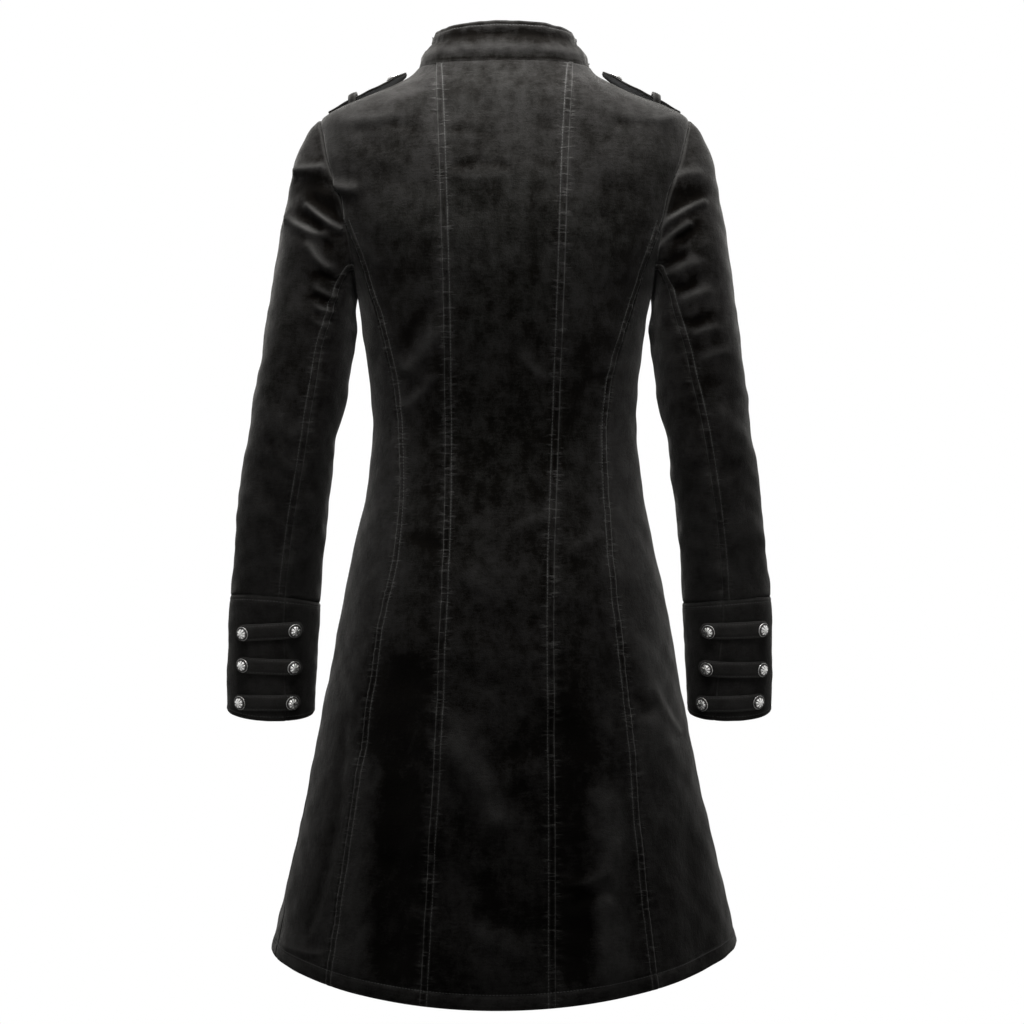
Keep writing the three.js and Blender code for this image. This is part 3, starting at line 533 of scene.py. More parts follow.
def neckline(way, sign):
    """Places of the neckline: way is 0 at the centre back, 1 at the side and 2 at the centre front."""
    way = np.asarray(way, float)
    behind = way <= 1
    turn = np.radians(90 * np.where(behind, way, way - 1))
    x = NECK["half"] * np.where(behind, np.sin(turn), np.cos(turn))
    at_back = lerp(NECK["back"], NECK["side"], np.sin(turn) ** 2)
    at_front = NECK["side"] - (NECK["side"] - NECK["front"]) * np.sin(turn) ** NECK["curve"]
    z = np.where(behind, at_back, at_front)
    return placed(angle_at(sign * np.maximum(x, 0.001), z, behind), z)


def armhole(turn, sign):
    """Places of the armhole: turn is 0 at the shoulder, 90 at the back and 180 under the arm."""
    turn = np.radians(turn)
    across = np.sin(turn)
    z = lerp(ARMHOLE["bottom"], ARMHOLE["top"], (1 + np.cos(turn)) / 2)
    inset = np.where(across > 0, ARMHOLE["back_inset"], ARMHOLE["front_inset"]) * across**2
    return placed(angle_at(sign * half_at(z) * (1 - inset), z, across > 0), z)


def armhole_turn(z, behind):
    share = (z - ARMHOLE["bottom"]) / (ARMHOLE["top"] - ARMHOLE["bottom"])
    turn = math.degrees(math.acos(2 * share - 1))
    return turn if behind else 360 - turn


BACK_TURN = armhole_turn(MEETS["outer_seam"], True)
FRONT_TURN = armhole_turn(MEETS["front_seam"], False)
INNER_WAY = math.degrees(math.asin(MEETS["inner_seam"] / NECK["half"])) / 90

# Each piece is divided finely beside its seams and evenly between them.
NEAR_SEAM = np.array([0, 0.5, 1.0, 1.7, 3.2, 5.4, 6.8, 7.4, 8.0, 9.4, 12])
NEAR_HEM = np.array([0, 0.8, 1.8, 3.5, 6, 10, 13, 14, 15, 17])
COLUMN, ROW = 3.6, 2.0
SEAM_LENGTH = 755
hem_rows = NEAR_HEM / SEAM_LENGTH * ARMHOLE_ROW
seam_rows = np.arange(NEAR_HEM[-1] + ROW, SEAM_LENGTH - ROW / 2, ROW) / SEAM_LENGTH * ARMHOLE_ROW
LOW_ROWS = np.concatenate([hem_rows, seam_rows, [ARMHOLE_ROW]])
TOP_ROWS = np.linspace(ARMHOLE_ROW, SHOULDER_ROW, 64)[1:]
NECK_ROWS = np.concatenate([LOW_ROWS, TOP_ROWS[TOP_ROWS <= NECK_ROW + 1e-6]])
ALL_ROWS = np.concatenate([LOW_ROWS, TOP_ROWS])


def fill(left, right, hem, top, rows, across):
    """Places of a panel between its four edges, for any shares of the way across it."""
    up = (rows / rows[-1])[:, None, None]
    across = across[..., None]
    ends = np.array([0.0, 1.0])

    def bulge(edge):
        start, end = edge(ends)
        return edge(across[..., 0]) - lerp(start, end, across)

    return lerp(left[:, None], right[:, None], across) + up**4 * bulge(top) + (1 - up) ** 4 * bulge(hem)


def spread(place_at, surface, rows):
    """Shares of the way across a piece for its columns, and their distances from both its sides."""
    ticks = np.linspace(0, 1, 41)
    rough = surface(place_at(np.tile(ticks, (rows, 1))))
    steps = np.linalg.norm(np.diff(rough, axis=1), axis=-1)
    run = np.hstack([np.zeros((rows, 1)), np.cumsum(steps, axis=1)])
    width = run[:, -1:]
    near = NEAR_SEAM * np.minimum(1, width / 60)
    count = round(float(width.max()) / COLUMN)
    middle = lerp(near[:, -1:], width - near[:, -1:], np.linspace(0, 1, count + 2)[1:-1])
    distance = np.hstack([near, middle, width - near[:, ::-1]])
    across = np.array([np.interp(d, r, ticks) for d, r in zip(distance, run)])
    return across, distance, width - distance


# A long seam: the panel nearer the centre back folds over it as a low welt, stitched down at
# STITCH_IN, and the thread draws the cloth up into short puckers on both sides.
STITCH_IN = 7.4
WELT = {"dip": 0.9, "edge": 1.3, "rise": 0.7, "stitch": 0.6, "thread": 0.7}


def seam_profile(distance, welted):
    """Height, pressed nap and drawn-up cloth at distances from a seam."""
    edge = peak(distance, 0, WELT["edge"])
    if not welted:
        return -WELT["dip"] * edge, 0.12 * edge, 0.8 * peak(distance, 0, 5)
    inside = smoothstep(distance, 0.3, 1.8) * (1 - smoothstep(distance, 5.8, 7.6))
    thread = peak(distance, STITCH_IN, WELT["thread"])
    height = WELT["rise"] * inside - WELT["dip"] * edge - WELT["stitch"] * thread
    pressed = 0.75 * peak(distance, 1.0, 0.6) + 0.5 * thread - 0.1 * inside
    under_welt = smoothstep(distance, 0.5, 2) * np.exp(-((distance / 8) ** 4))
    return height, pressed, np.maximum(under_welt, 0.8 * peak(distance, 9, 4))


def puckers(seed, low, high, strength=1.0):
    """The puckers along one seam, as height, reach to both sides, slant, width and lift."""
    random = np.random.default_rng(seed)
    made = []
    z = low
    while z < high:
        reach = random.uniform(7, 20) if random.random() < 0.3 else random.uniform(4, 8)
        lift = strength * random.uniform(0.2, 0.7)
        made.append((z, reach, random.uniform(-0.3, 0.3), random.uniform(1.4, 2.4), lift))
        z += random.uniform(5, 10)
    return made


def pucker_lift(made, z, distance, welted):
    lift = np.zeros(z.shape)
    for at, reach, slant, width, height in made:
        side = slant if welted else -slant
        across = peak(z, at + side * distance, width)
        lift += height * across * peak(distance, 0, reach if welted else 0.7 * reach)
    return lift


def make_mesh(name, points, faces, materials, nap_and_light):
    """A smooth mesh with its nap's states and painted light and shade, as values of its points, for the
    velvet to read.
    """
    mesh = bpy.data.meshes.new(name)
    mesh.from_pydata((points * MM).tolist(), [], faces)
    for material in materials:
        mesh.materials.append(material)
    for state, values in nap_and_light.items():
        attribute = mesh.attributes.new(state, "FLOAT", "POINT")
        attribute.data.foreach_set("value", np.clip(values, 0, 1).ravel())
    piece = bpy.data.objects.new(name, mesh)
    bpy.context.collection.objects.link(piece)
    smooth(piece)
    return piece


def smooth(piece):
    for face in piece.data.polygons:
        face.use_smooth = True


def apply_modifier(piece, kind, **settings):
    bpy.ops.object.select_all(action="DESELECT")
    piece.select_set(True)
    bpy.context.view_layer.objects.active = piece
    modifier = piece.modifiers.new(kind.title(), kind)
    for name, value in settings.items():
        setattr(modifier, name, value)
    bpy.ops.object.modifier_apply(modifier=modifier.name)


def make_cloth(name, points, normals, pressed, thick, drawn=0, lean=0.5):
    """One piece of velvet from a grid of points, with its lining inside and its wall's thickness."""
    rows, columns = points.shape[:2]
    number = np.arange(rows * columns).reshape(rows, columns)
    corners = [number[:-1, :-1], number[:-1, 1:], number[1:, 1:], number[1:, :-1]]
    middle = (rows // 2, columns // 2)
    step_across = points[middle[0], middle[1] + 1] - points[middle]
    step_up = points[middle[0] + 1, middle[1]] - points[middle]
    if np.dot(np.cross(step_across, step_up), normals[middle]) < 0:
        corners.reverse()
    faces = np.stack(corners, -1).reshape(-1, 4).tolist()
    nap_and_light = {"pressed": pressed, "drawn": drawn + 0 * pressed, "lean": lean + 0 * pressed}
    piece = make_mesh(name, points.reshape(-1, 3), faces, [velvet, lining], nap_and_light)
    apply_modifier(piece, "SOLIDIFY", thickness=thick * MM, offset=-1, material_offset=1)
    smooth(piece)
    piece.data.set_sharp_from_angle(angle=math.radians(50))
    return piece


NARROWEST_CUT = 0.01


def cut_size(plain):
    """The width, length and area of a piece of cloth before it is sewn, in metres."""
    across = np.linalg.norm(np.diff(plain, axis=1), axis=-1)
    down = np.linalg.norm(np.diff(plain, axis=0), axis=-1)
    width = max(across.sum(axis=1).max() * MM, NARROWEST_CUT)
    length = max(down.sum(axis=0).max() * MM, NARROWEST_CUT)
    area = (across[1:] * down[:, 1:]).sum() * MM**2
    return (float(width), float(length)), float(area)


def declare(piece, plain, node):
    flat, area = cut_size(plain)
    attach(piece, "root")
    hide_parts(node)


HEM_STITCH = 14
BODY_WAVES = [(0.8, 85, 5), (0.3, 24, 6)]
BODY_SEAM_SEED = 21
sewn_lines = {"back": [], "front": []}


def from_start(plain):
    """How far along its column each point of a grid is from the first row."""
    steps = np.linalg.norm(np.diff(plain, axis=0), axis=-1)
    return np.vstack([np.zeros((1, steps.shape[1])), np.cumsum(steps, axis=0)])


def make_panel(name, edges, rows, seams, sewing, lift=None):
    """One panel. seams holds for its left and right side whether it is welted, its puckers, and
    whether it is a long seam as far as the panel's top."""

    def place_at(share):
        return fill(*edges, rows, share)

    across, from_left, from_right = spread(place_at, ring_point, len(rows))
    places = place_at(across)
    plain = ring_point(places)
    normals = normals_of(ring_point, places, -0.3, 0.6)
    folds, crest, lean = fold_lift(BODY_FOLDS, plain, normals)
    # The painted light and shade of the folds, of the height on the coat and of the side panels go into
    # lean.
    lean = lean + painted_light_at(plain, half_at(plain[..., 2])) + PANEL_SHEEN.get(name, 0)
    flat_front = np.where(plain[..., 1] > 0, 1, smoothstep(np.abs(plain[..., 0]), 30, 80))
    away = flat_front * folds + rumpled(plain, BODY_WAVES)
    # The crests of folds get a painted highlight, carried with the pressed nap of the seams.
    pressed = 0.5 * flat_front * crest
    drawn = 0 * crest
    z = plain[..., 2]
    # Where the armhole's edge takes over from a long seam, the seam's welt has ended.
    to_armhole = 1 - smoothstep(rows, ARMHOLE_ROW - 0.4, ARMHOLE_ROW + 0.1)[:, None]
    uneven = unevenness(plain, BODY_SEAM_SEED)
    for distance, (welted, made, whole) in zip((from_left, from_right), seams):
        share = 1 if whole else to_armhole
        profile, pale, near = seam_profile(distance, welted)
        plainly, plain_pale, _ = seam_profile(distance, False)
        lifted = share * pucker_lift(made, z, distance, welted)
        away += lerp(plainly, profile, share) + lifted
        # Raised puckers get a painted highlight besides the seam's pressed nap.
        pressed += uneven * lerp(plain_pale, pale, share) + 0.2 * lifted
        drawn += share * near
    from_hem = from_start(plain)
    # A band above the hem is painted a little lighter.
    lean += 0.14 * (1 - smoothstep(from_hem, 11, 15))
    hem_thread = peak(from_hem, HEM_STITCH, 1.1)
    away += 0.5 * smoothstep(from_hem, 0, 2) * (1 - smoothstep(from_hem, 11, 14)) - 0.5 * hem_thread
    away -= 0.9 * peak(from_hem, 0, 1.4)
    pressed += uneven * (0.4 * hem_thread + 0.2 * peak(from_hem, 1, 1.2))
    if lift is not None:
        away += lift(places)
    points = plain + normals * away[..., None]
    piece = make_cloth(name, points, normals, pressed, CLOTH, drawn, lean)
    declare(piece, plain, name)
    stitch_column = int(np.where(NEAR_SEAM == STITCH_IN)[0][0])
    for column, (welted, _, whole) in zip((stitch_column, -1 - stitch_column), seams):
        if welted:
            end = len(rows) if whole else int(np.searchsorted(rows, ARMHOLE_ROW))
            sewn_lines[sewing].append((points[:end, column], normals[:end, column]))
    hem_row = int(np.where(NEAR_HEM == HEM_STITCH)[0][0])
    sewn_lines[sewing].append((points[hem_row], normals[hem_row]))
    return piece


def seam_line(seam, side, behind, end, rows):
    """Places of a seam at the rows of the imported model, up to a last place that is given."""
    end_x = abs(ring_point(end)[0])
    whole = {"z": np.append(seam["z"], end[1]), side: np.append(seam[side], end_x)}
    distance = curve(whole, "z", side)
    sign = SIGN[side]
    foot = hem_height(angle_at(sign * seam[side][0], seam["z"][0], behind))
    turning = MEETS["outer_seam"] if rows[-1] > ARMHOLE_ROW else end[1]
    lower = lerp(foot, turning, rows / ARMHOLE_ROW)
    upper = lerp(turning, end[1], (rows - ARMHOLE_ROW) / (NECK_ROW - ARMHOLE_ROW))
    z = np.where(rows <= ARMHOLE_ROW, lower, upper)
    return placed(angle_at(sign * distance(z), z, behind), z)


def hem_line(left, right):
    def read(share):
        angle = lerp(left[0, 0], right[0, 0], share)
        return placed(angle, hem_height(angle))

    return read


def side_seam(side):
    up = LOW_ROWS / ARMHOLE_ROW
    angle = SIGN[side] * (90 - SIDE_SEAM_AWAY[side] * np.clip(1 - up / 0.45, 0, 1))
    return placed(angle, lerp(hem_height(angle), ARMHOLE["bottom"], up))


def shoulder_line(inner, outer, sign):
    def read(share):
        return placed(sign * 90, lerp(inner[-1, 1], outer[-1, 1], share))

    return read


def under_arm_line(start_turn, sign):
    """The lower armhole, from a seam that meets it to the side seam."""

    def read(share):
        return armhole(lerp(start_turn, 180, share), sign)

    return read


# The back is five panels: one down the centre, one to each shoulder and one under each arm. They
# are sewn together by four long seams, which curve in at the waist and end in the flared hem.
FLAT_EDGE = (False, [], False)
LONG_SEAMS = [("inner", "left"), ("inner", "right"), ("outer", "left"), ("outer", "right")]
LONG_PUCKERS = {"low": -880, "high": 10}
FIRST_SEED = 11
drawn_up = {seam: puckers(FIRST_SEED + i, **LONG_PUCKERS) for i, seam in enumerate(LONG_SEAMS)}
inner_lines = {}
for side, sign in SIGN.items():
    neck_end = neckline(INNER_WAY, sign)
    inner = seam_line(INNER_SEAM, side, True, neck_end, NECK_ROWS)
    outer = seam_line(OUTER_SEAM, side, True, armhole(BACK_TURN, 1), LOW_ROWS)
    inner_lines[side] = inner
    neck_share = (ALL_ROWS[len(NECK_ROWS):] - NECK_ROW) / (SHOULDER_ROW - NECK_ROW)
    inner_edge = np.vstack([inner, neckline(lerp(INNER_WAY, 1, neck_share), sign)])
    arm_share = (TOP_ROWS - ARMHOLE_ROW) / (SHOULDER_ROW - ARMHOLE_ROW)
    outer_edge = np.vstack([outer, armhole(lerp(BACK_TURN, 0, arm_share), sign)])
    shoulder = shoulder_line(inner_edge, outer_edge, sign)
    edges = (inner_edge, outer_edge, hem_line(inner_edge, outer_edge), shoulder)
    seams = ((False, drawn_up["inner", side], True), (True, drawn_up["outer", side], False))
    make_panel("back_" + side, edges, ALL_ROWS, seams, "back")
    side_edge = side_seam(side)
    edges = (outer, side_edge, hem_line(outer, side_edge), under_arm_line(BACK_TURN, sign))
    seams = ((False, drawn_up["outer", side], True), FLAT_EDGE)
    make_panel("side_back_" + side, edges, LOW_ROWS, seams, "back")


def neck_across(share):
    way = lerp(INNER_WAY, -INNER_WAY, share)
    places = neckline(np.abs(way), 1)
    places[..., 0] *= np.where(way < 0, -1, 1)
    return places


left, right = inner_lines["left"], inner_lines["right"]
edges = (left, right, hem_line(left, right), neck_across)
seams = ((True, drawn_up["inner", "left"], True), (True, drawn_up["inner", "right"], True))
make_panel("back_centre", edges, NECK_ROWS, seams, "back")

# The front is a panel under each arm and one to the centre, where the right one closes over the
# left one. It is finished as plainly as such a coat's front is.
FRONT_PUCKERS = {"low": -870, "high": -120, "strength": 0.7}
FRONT_SEED = 20
CLOSING = (OVERLAP + 22, OVERLAP + 2)
neck_way = 2 - math.degrees(math.asin(OVERLAP / NECK["half"])) / 90
for side, sign in SIGN.items():
    seam = seam_line(FRONT_SEAM, side, False, armhole(FRONT_TURN, 1), LOW_ROWS)
    side_edge = side_seam(side)
    edges = (seam, side_edge, hem_line(seam, side_edge), under_arm_line(FRONT_TURN, sign))
    front_puckers = puckers(FRONT_SEED + sign, **FRONT_PUCKERS)
    seams = ((False, front_puckers, True), FLAT_EDGE)
    make_panel("side_front_" + side, edges, LOW_ROWS, seams, "front")

    corner = neckline(neck_way, sign)
    z = lerp(HEM["front"], corner[1], LOW_ROWS / ARMHOLE_ROW)
    near_edge = placed(sign * (360 - np.abs(angle_at(sign * OVERLAP, z, False))), z)
    neck_share = (TOP_ROWS - ARMHOLE_ROW - 1) / (SHOULDER_ROW - ARMHOLE_ROW - 1)
    neck_edge = neckline(lerp(2, 1, np.maximum(neck_share, 0)), sign)
    # The step from the front edge to the neckline's middle is the first row above the corner.
    before = neck_share < 0
    step = (TOP_ROWS[before] - ARMHOLE_ROW)[:, None]
    neck_edge[before] = lerp(near_edge[-1], neckline(2, sign), step)
    inner_edge = np.vstack([near_edge, neck_edge])
    arm_share = (TOP_ROWS - ARMHOLE_ROW) / (SHOULDER_ROW - ARMHOLE_ROW)
    outer_edge = np.vstack([seam, armhole(lerp(FRONT_TURN, 360, arm_share), sign)])
    shoulder = shoulder_line(inner_edge, outer_edge, sign)
    edges = (inner_edge, outer_edge, hem_line(inner_edge, outer_edge), shoulder)
    level = OVERLAP_STEP if side == "right" else -OVERLAP_STEP

    def closing(places, sign=sign, level=level):
        past = ring_point(places)[..., 0] * -sign
        step = level * smoothstep(past, -CLOSING[0], -CLOSING[1])
        return np.where(np.abs(places[..., 0]) > 120, step, 0)

    seams = (FLAT_EDGE, (True, front_puckers, False))
    make_panel("front_" + side, edges, ALL_ROWS, seams, "front", closing)

# The sleeves are cut in two pieces each: the top sleeve round the outside of the arm and the
# under sleeve next to the body. Their hind seam is welted as the body's are, and the head is
# eased into the armhole, which throws ridges and hollows across the upper arm.
SLEEVE_COLUMNS = "along z x y half depth seam"
SLEEVES = {
    "left": table(
        SLEEVE_COLUMNS,
        (1, -239, 197, -3, 46, 59, 118),
        (2, -294, 205.5, -2, 46, 55, 113),
        (3, -355, 217, -4, 45, 52, 114),
        (4, -437, 228, -14, 46, 50, 109.5),
        (5, -519, 236.5, -28, 46, 48, 107),
        (6, -580, 240.5, -40, 45.3, 46.5, 111),
        (7, -634, 243.5, -50, 44.8, 45.5, 115.5),
    ),
    "right": table(
        SLEEVE_COLUMNS,
        (1, -239, 193, -3, 45.5, 59, 117),
        (2, -294, 200, -2, 45.4, 55, 107),
        (3, -355, 209.5, -4, 43.5, 52, 101),
        (4, -437, 220.5, -14, 43.7, 50, 98.5),
        (5, -519, 229, -28, 45, 48, 99.5),
        (6, -580, 232, -40, 44, 46.5, 108),
        (7, -634, 234, -50, 42.6, 45.5, 116),
    ),
}
FRONT_SLEEVE_SEAM = 248
CUFF_TOP, CUFF_END = 5, 7
# The upper edge of a cuff is cut level, so it is higher on the back of the sloping sleeve.
CUFF_RISE = {"left": 0.19, "right": 0.14}
SLEEVE_FOLDS = {
    "left": table(
        "x1 z1 x2 z2 width height",
        (216, -83, 178, -83, 4.5, 3.5),
        (214, -95, 176, -104, 8, -4.5),
        (200, -118, 158, -149, 4.5, 5),
        (221, -128, 176, -156, 5.5, 5),
        (190, -118, 166, -132, 9, -5),
        (204, -134, 184, -146, 7, -4),
        (206, -104, 190, -112, 7, -2.5),
        (196, -160, 174, -187, 5, 4),
        (186, -154, 172, -165, 4, -3),
        (190, -203, 168, -214, 5, 2.8),
        (186, -192, 168, -199, 4, -2.4),
        (190, -222, 172, -229, 4, 2.2),
        (190, -212, 174, -220, 4, -2),
        (192, -236, 176, -243, 4, 1.8),
        (236, -330, 214, -352, 12, 1.8),
        (228, -372, 200, -388, 9, 1.5),
        (262, -410, 236, -430, 12, 1.6),
        (240, -470, 216, -480, 8, 1.4),
    ),
    "right": table(
        "x1 z1 x2 z2 width height",
        (160, -96, 194, -90, 6, 3.2),
        (160, -108, 184, -112, 7, -3.5),
        (150, -150, 205, -116, 4.5, 5),
        (146, -172, 190, -140, 4.5, 4.5),
        (168, -128, 196, -112, 9, -4),
        (158, -160, 186, -144, 4, -3.5),
        (176, -158, 192, -142, 5, -3),
        (166, -190, 192, -180, 7, 3),
        (160, -182, 180, -172, 5, -3),
        (170, -206, 192, -200, 6, -3),
        (176, -218, 204, -208, 7, 3),
        (180, -240, 204, -234, 6, -2.5),
        (188, -252, 212, -244, 6, 2.2),
        (196, -276, 222, -268, 6, 1.8),
        (214, -330, 240, -352, 12, 1.8),
        (204, -392, 232, -410, 10, 1.5),
        (236, -440, 258, -452, 12, 1.5),
        (214, -486, 238, -500, 9, 1.4),
    ),
}
BACK_SEAM_TURN = lerp(BACK_TURN, 180, 0.5)
FRONT_SEAM_TURN = lerp(180, FRONT_TURN, 0.75)


def sleeve_surface(side):
    """Points of a sleeve, as if on the left. A place is a turn round the arm and a way along it."""
    rings = SLEEVES[side]
    read = {key: curve(rings, "along", key) for key in ("x", "y", "z", "half", "depth")}

    def centre(along):
        return np.stack([read["x"](along), read["y"](along), read["z"](along)], -1)

    def ring(turn, along):
        near = np.clip(along, 1.02, CUFF_END - 0.02)
        axis = unit(centre(near + 0.02) - centre(near - 0.02))
        out = unit(np.array([1.0, 0, 0]) - axis[..., :1] * axis)
        back = np.cross(out, axis)
        wide = (read["half"](along) * bend(np.cos(turn), 0.95))[..., None]
        deep = (read["depth"](along) * bend(np.sin(turn), 0.95))[..., None]
        return centre(along) + out * wide + back * deep

    def head(turn, share):
        end = ring(turn, np.ones_like(share))
        start = ring_point(armhole(np.degrees(turn), 1))
        length = np.linalg.norm(end - start, axis=-1, keepdims=True)
        under_arm = (1 - np.cos(turn)) / 2
        leave = unit(np.stack([0.93 + 0 * turn, 0.35 * np.sin(turn), lerp(-0.37, -0.5, under_arm)], -1))
        arrive = unit(ring(turn, np.full_like(share, 1.04)) - end)
        t = share[..., None]
        return (
            (start + leave * SEAM_GAP) * (2 * t**3 - 3 * t**2 + 1)
            + 0.45 * length * leave * (t**3 - 2 * t**2 + t)
            + end * (3 * t**2 - 2 * t**3)
            + 0.9 * length * arrive * (t**3 - t**2)
        )

    def surface(places):
        turn, along = np.radians(places[..., 0]), places[..., 1]
        at_head = head(turn, np.clip(along, 0, 1))
        return np.where((along < 1)[..., None], at_head, ring(turn, np.maximum(along, 1)))

    first = {"along": np.append(0, rings["along"]), "seam": np.append(BACK_SEAM_TURN, rings["seam"])}
    return surface, curve(first, "along", "seam")


def sleeve_normals(surface, places):
    near = np.stack([places[..., 0], np.clip(places[..., 1], 0.015, CUFF_END - 0.03)], -1)
    return normals_of(surface, near, -0.5, 0.012)


def levelled(places, side):
    """Places of a sleeve or cuff, moved up or down it so that the edge between them is level."""
    turn, along = np.radians(places[..., 0]), places[..., 1]
    on_cuff = (CUFF_END - along) / (CUFF_END - CUFF_TOP)
    near = np.where(along < CUFF_TOP, smoothstep(along, 3, CUFF_TOP), on_cuff)
    return placed(places[..., 0], along - CUFF_RISE[side] * near * np.sin(turn))


def mirrored(vectors, sign):
    return vectors * [sign, 1, 1]


ALLOWANCE = {"across": 2.5, "inward": 1.8}
SLEEVE_TONE = {"head": 0.12, "low": 0.42}
SLEEVE_WAVES = [(0.9, 60, 7), (0.3, 22, 8)]
SLEEVE_SEAM_SEED = 22
sewn_lines["sleeves"] = []
HIND_PUCKERS = {"low": -520, "high": -150, "strength": 1.1}
HIND_SEED = 40
HEAD_ROWS = np.linspace(0, 1, 84)
ARM_ROWS = 1 + 4 * np.arange(1, 144) / 148
RING_LENGTH = 75
CUFF_SEAM_ROWS = CUFF_TOP - np.array([9.6, 8, 6.5, 5, 3.2, 1.8, 0.8, 0]) / RING_LENGTH
for side, sign in SIGN.items():
    surface, hind_seam = sleeve_surface(side)
    alongs = np.concatenate([HEAD_ROWS, ARM_ROWS, CUFF_SEAM_ROWS])[:, None]
    front = lerp(FRONT_SEAM_TURN, FRONT_SLEEVE_SEAM, np.clip(alongs, 0, 1))
    hind = hind_seam(alongs) + 360
    hind_puckers = puckers(HIND_SEED + sign, **HIND_PUCKERS)
    pieces = {
        "top_sleeve_": (front, hind, (FLAT_EDGE, (True, hind_puckers, True))),
        "under_sleeve_": (hind, front + 360, ((False, hind_puckers, True), FLAT_EDGE)),
    }
    for name, (start, end, seams) in pieces.items():

        def place_at(share, start=start, end=end, alongs=alongs, side=side):
            return levelled(placed(lerp(start, end, share), alongs), side)

        across, near_start, near_end = spread(place_at, surface, len(alongs))
        places = place_at(across)
        plain = surface(places)
        normals = sleeve_normals(surface, places)
        folds, crest, lean = fold_lift(SLEEVE_FOLDS[side], plain, normals)
        settled = smoothstep(places[..., 1], 0, 0.12)
        away = settled * (folds + rumpled(plain, SLEEVE_WAVES))
        # The crests of folds get a painted highlight, carried with the pressed nap of the seams.
        pressed = 0.7 * crest
        drawn = 0 * crest
        uneven = unevenness(plain, SLEEVE_SEAM_SEED)
        for distance, (welted, made, _) in zip((near_start, near_end), seams):
            profile, pale, near = seam_profile(distance, welted)
            lifted = pucker_lift(made, plain[..., 2], distance, welted)
            away += profile + lifted
            # Raised puckers get a painted highlight besides the seam's pressed nap.
            pressed += uneven * pale + 0.2 * lifted
            drawn += 0.7 * near
        from_armhole = from_start(plain)
        to_cuff = from_armhole[-1:] - from_armhole
        away += 0.5 * peak(from_armhole, 2.5, 2) - 0.8 * peak(to_cuff, 0, 1.6)
        pressed += 0.15 * peak(to_cuff, 1.5, 1.2) + 0.3 * peak(from_armhole, 1.2, 1.0)
        # The sleeve is painted darker at the head and lighter down the lower sleeve towards the cuff.
        lean += SLEEVE_TONE["low"] * smoothstep(places[..., 1], 2.5, 5) - SLEEVE_TONE["head"]
        # The edge at the armhole is turned in under the body's, as its seam allowance is.
        turned_in = unit(plain[0] - plain[1]) * ALLOWANCE["across"] - normals[0] * ALLOWANCE["inward"]
        seamed = plain + normals * away[..., None]
        seamed[0] += turned_in
        points = mirrored(seamed, sign)
        outward = mirrored(normals, sign)
        piece = make_cloth(name + side, points, outward, pressed, CLOTH, drawn, lean)
        declare(piece, plain, name + side)
        if name == "top_sleeve_":
            stitch_column = -1 - int(np.where(NEAR_SEAM == STITCH_IN)[0][0])
            sewn_lines["sleeves"].append((points[2:-1, stitch_column], outward[2:-1, stitch_column]))

# The cuffs are bands of velvet a little thicker than the sleeve, sewn on over its end. Their
# upper edge is turned under and stitched, their ends meet in the sleeve's hind seam.
CUFF = {"thick": 2.6, "proud": 0.5, "step": 2.6, "lean": 0.85}
CUFF_LENGTH = 117
CUFF_STITCHES = (3.5, CUFF_LENGTH - 5)
CUFF_WAVES = [(0.4, 40, 9), (0.2, 14, 10)]
CUFF_SEAM_SEED = 23
sewn_lines["cuffs"] = []
near_top = np.array([0, 0.7, 1.4, 2.2, 3.5, 4.6, 6])
cuff_middle = np.arange(8.5, CUFF_LENGTH - 8, CUFF["step"])
cuff_runs = np.concatenate([near_top, cuff_middle, CUFF_LENGTH - near_top[::-1]])
for side, sign in SIGN.items():
    surface, hind_seam = sleeve_surface(side)
    alongs = (CUFF_TOP + (CUFF_END - CUFF_TOP) * cuff_runs / CUFF_LENGTH)[:, None]

    def place_at(share, hind_seam=hind_seam, alongs=alongs, side=side):
        return levelled(placed(hind_seam(alongs) + 360 * share, alongs), side)

    across, near_start, near_end = spread(place_at, surface, len(alongs))
    places = place_at(across)
    plain = surface(places)
    normals = sleeve_normals(surface, places)
    run = cuff_runs[:, None]
    from_seam = np.minimum(near_start, near_end)
    ends = peak(run, 0, 1.3) + peak(CUFF_LENGTH, run, 1.3)
    thread = sum(peak(run, at, 1.0) for at in CUFF_STITCHES)
    away = CUFF["proud"] + rumpled(plain, CUFF_WAVES)
    away += 0.5 - 0.9 * ends - 0.45 * thread - 0.8 * peak(from_seam, 0, 1.4)
    uneven = unevenness(plain, CUFF_SEAM_SEED)
    pressed = 0.06 + 0.45 * thread + 0.5 * peak(near_end, 1.2, 0.6)
    pressed += 0.25 * peak(run, 1, 0.8) + 0.2 * peak(CUFF_LENGTH - run, 1, 1.0)
    pressed *= uneven
    points = mirrored(plain + normals * away[..., None], sign)
    outward = mirrored(normals, sign)
    piece = make_cloth("cuff_" + side, points, outward, pressed, CUFF["thick"], lean=CUFF["lean"])
    declare(piece, plain, "cuff_" + side)
    for at in CUFF_STITCHES:
        row = int(np.argmin(np.abs(cuff_runs - at)))
        sewn_lines["cuffs"].append((points[row], outward[row]))

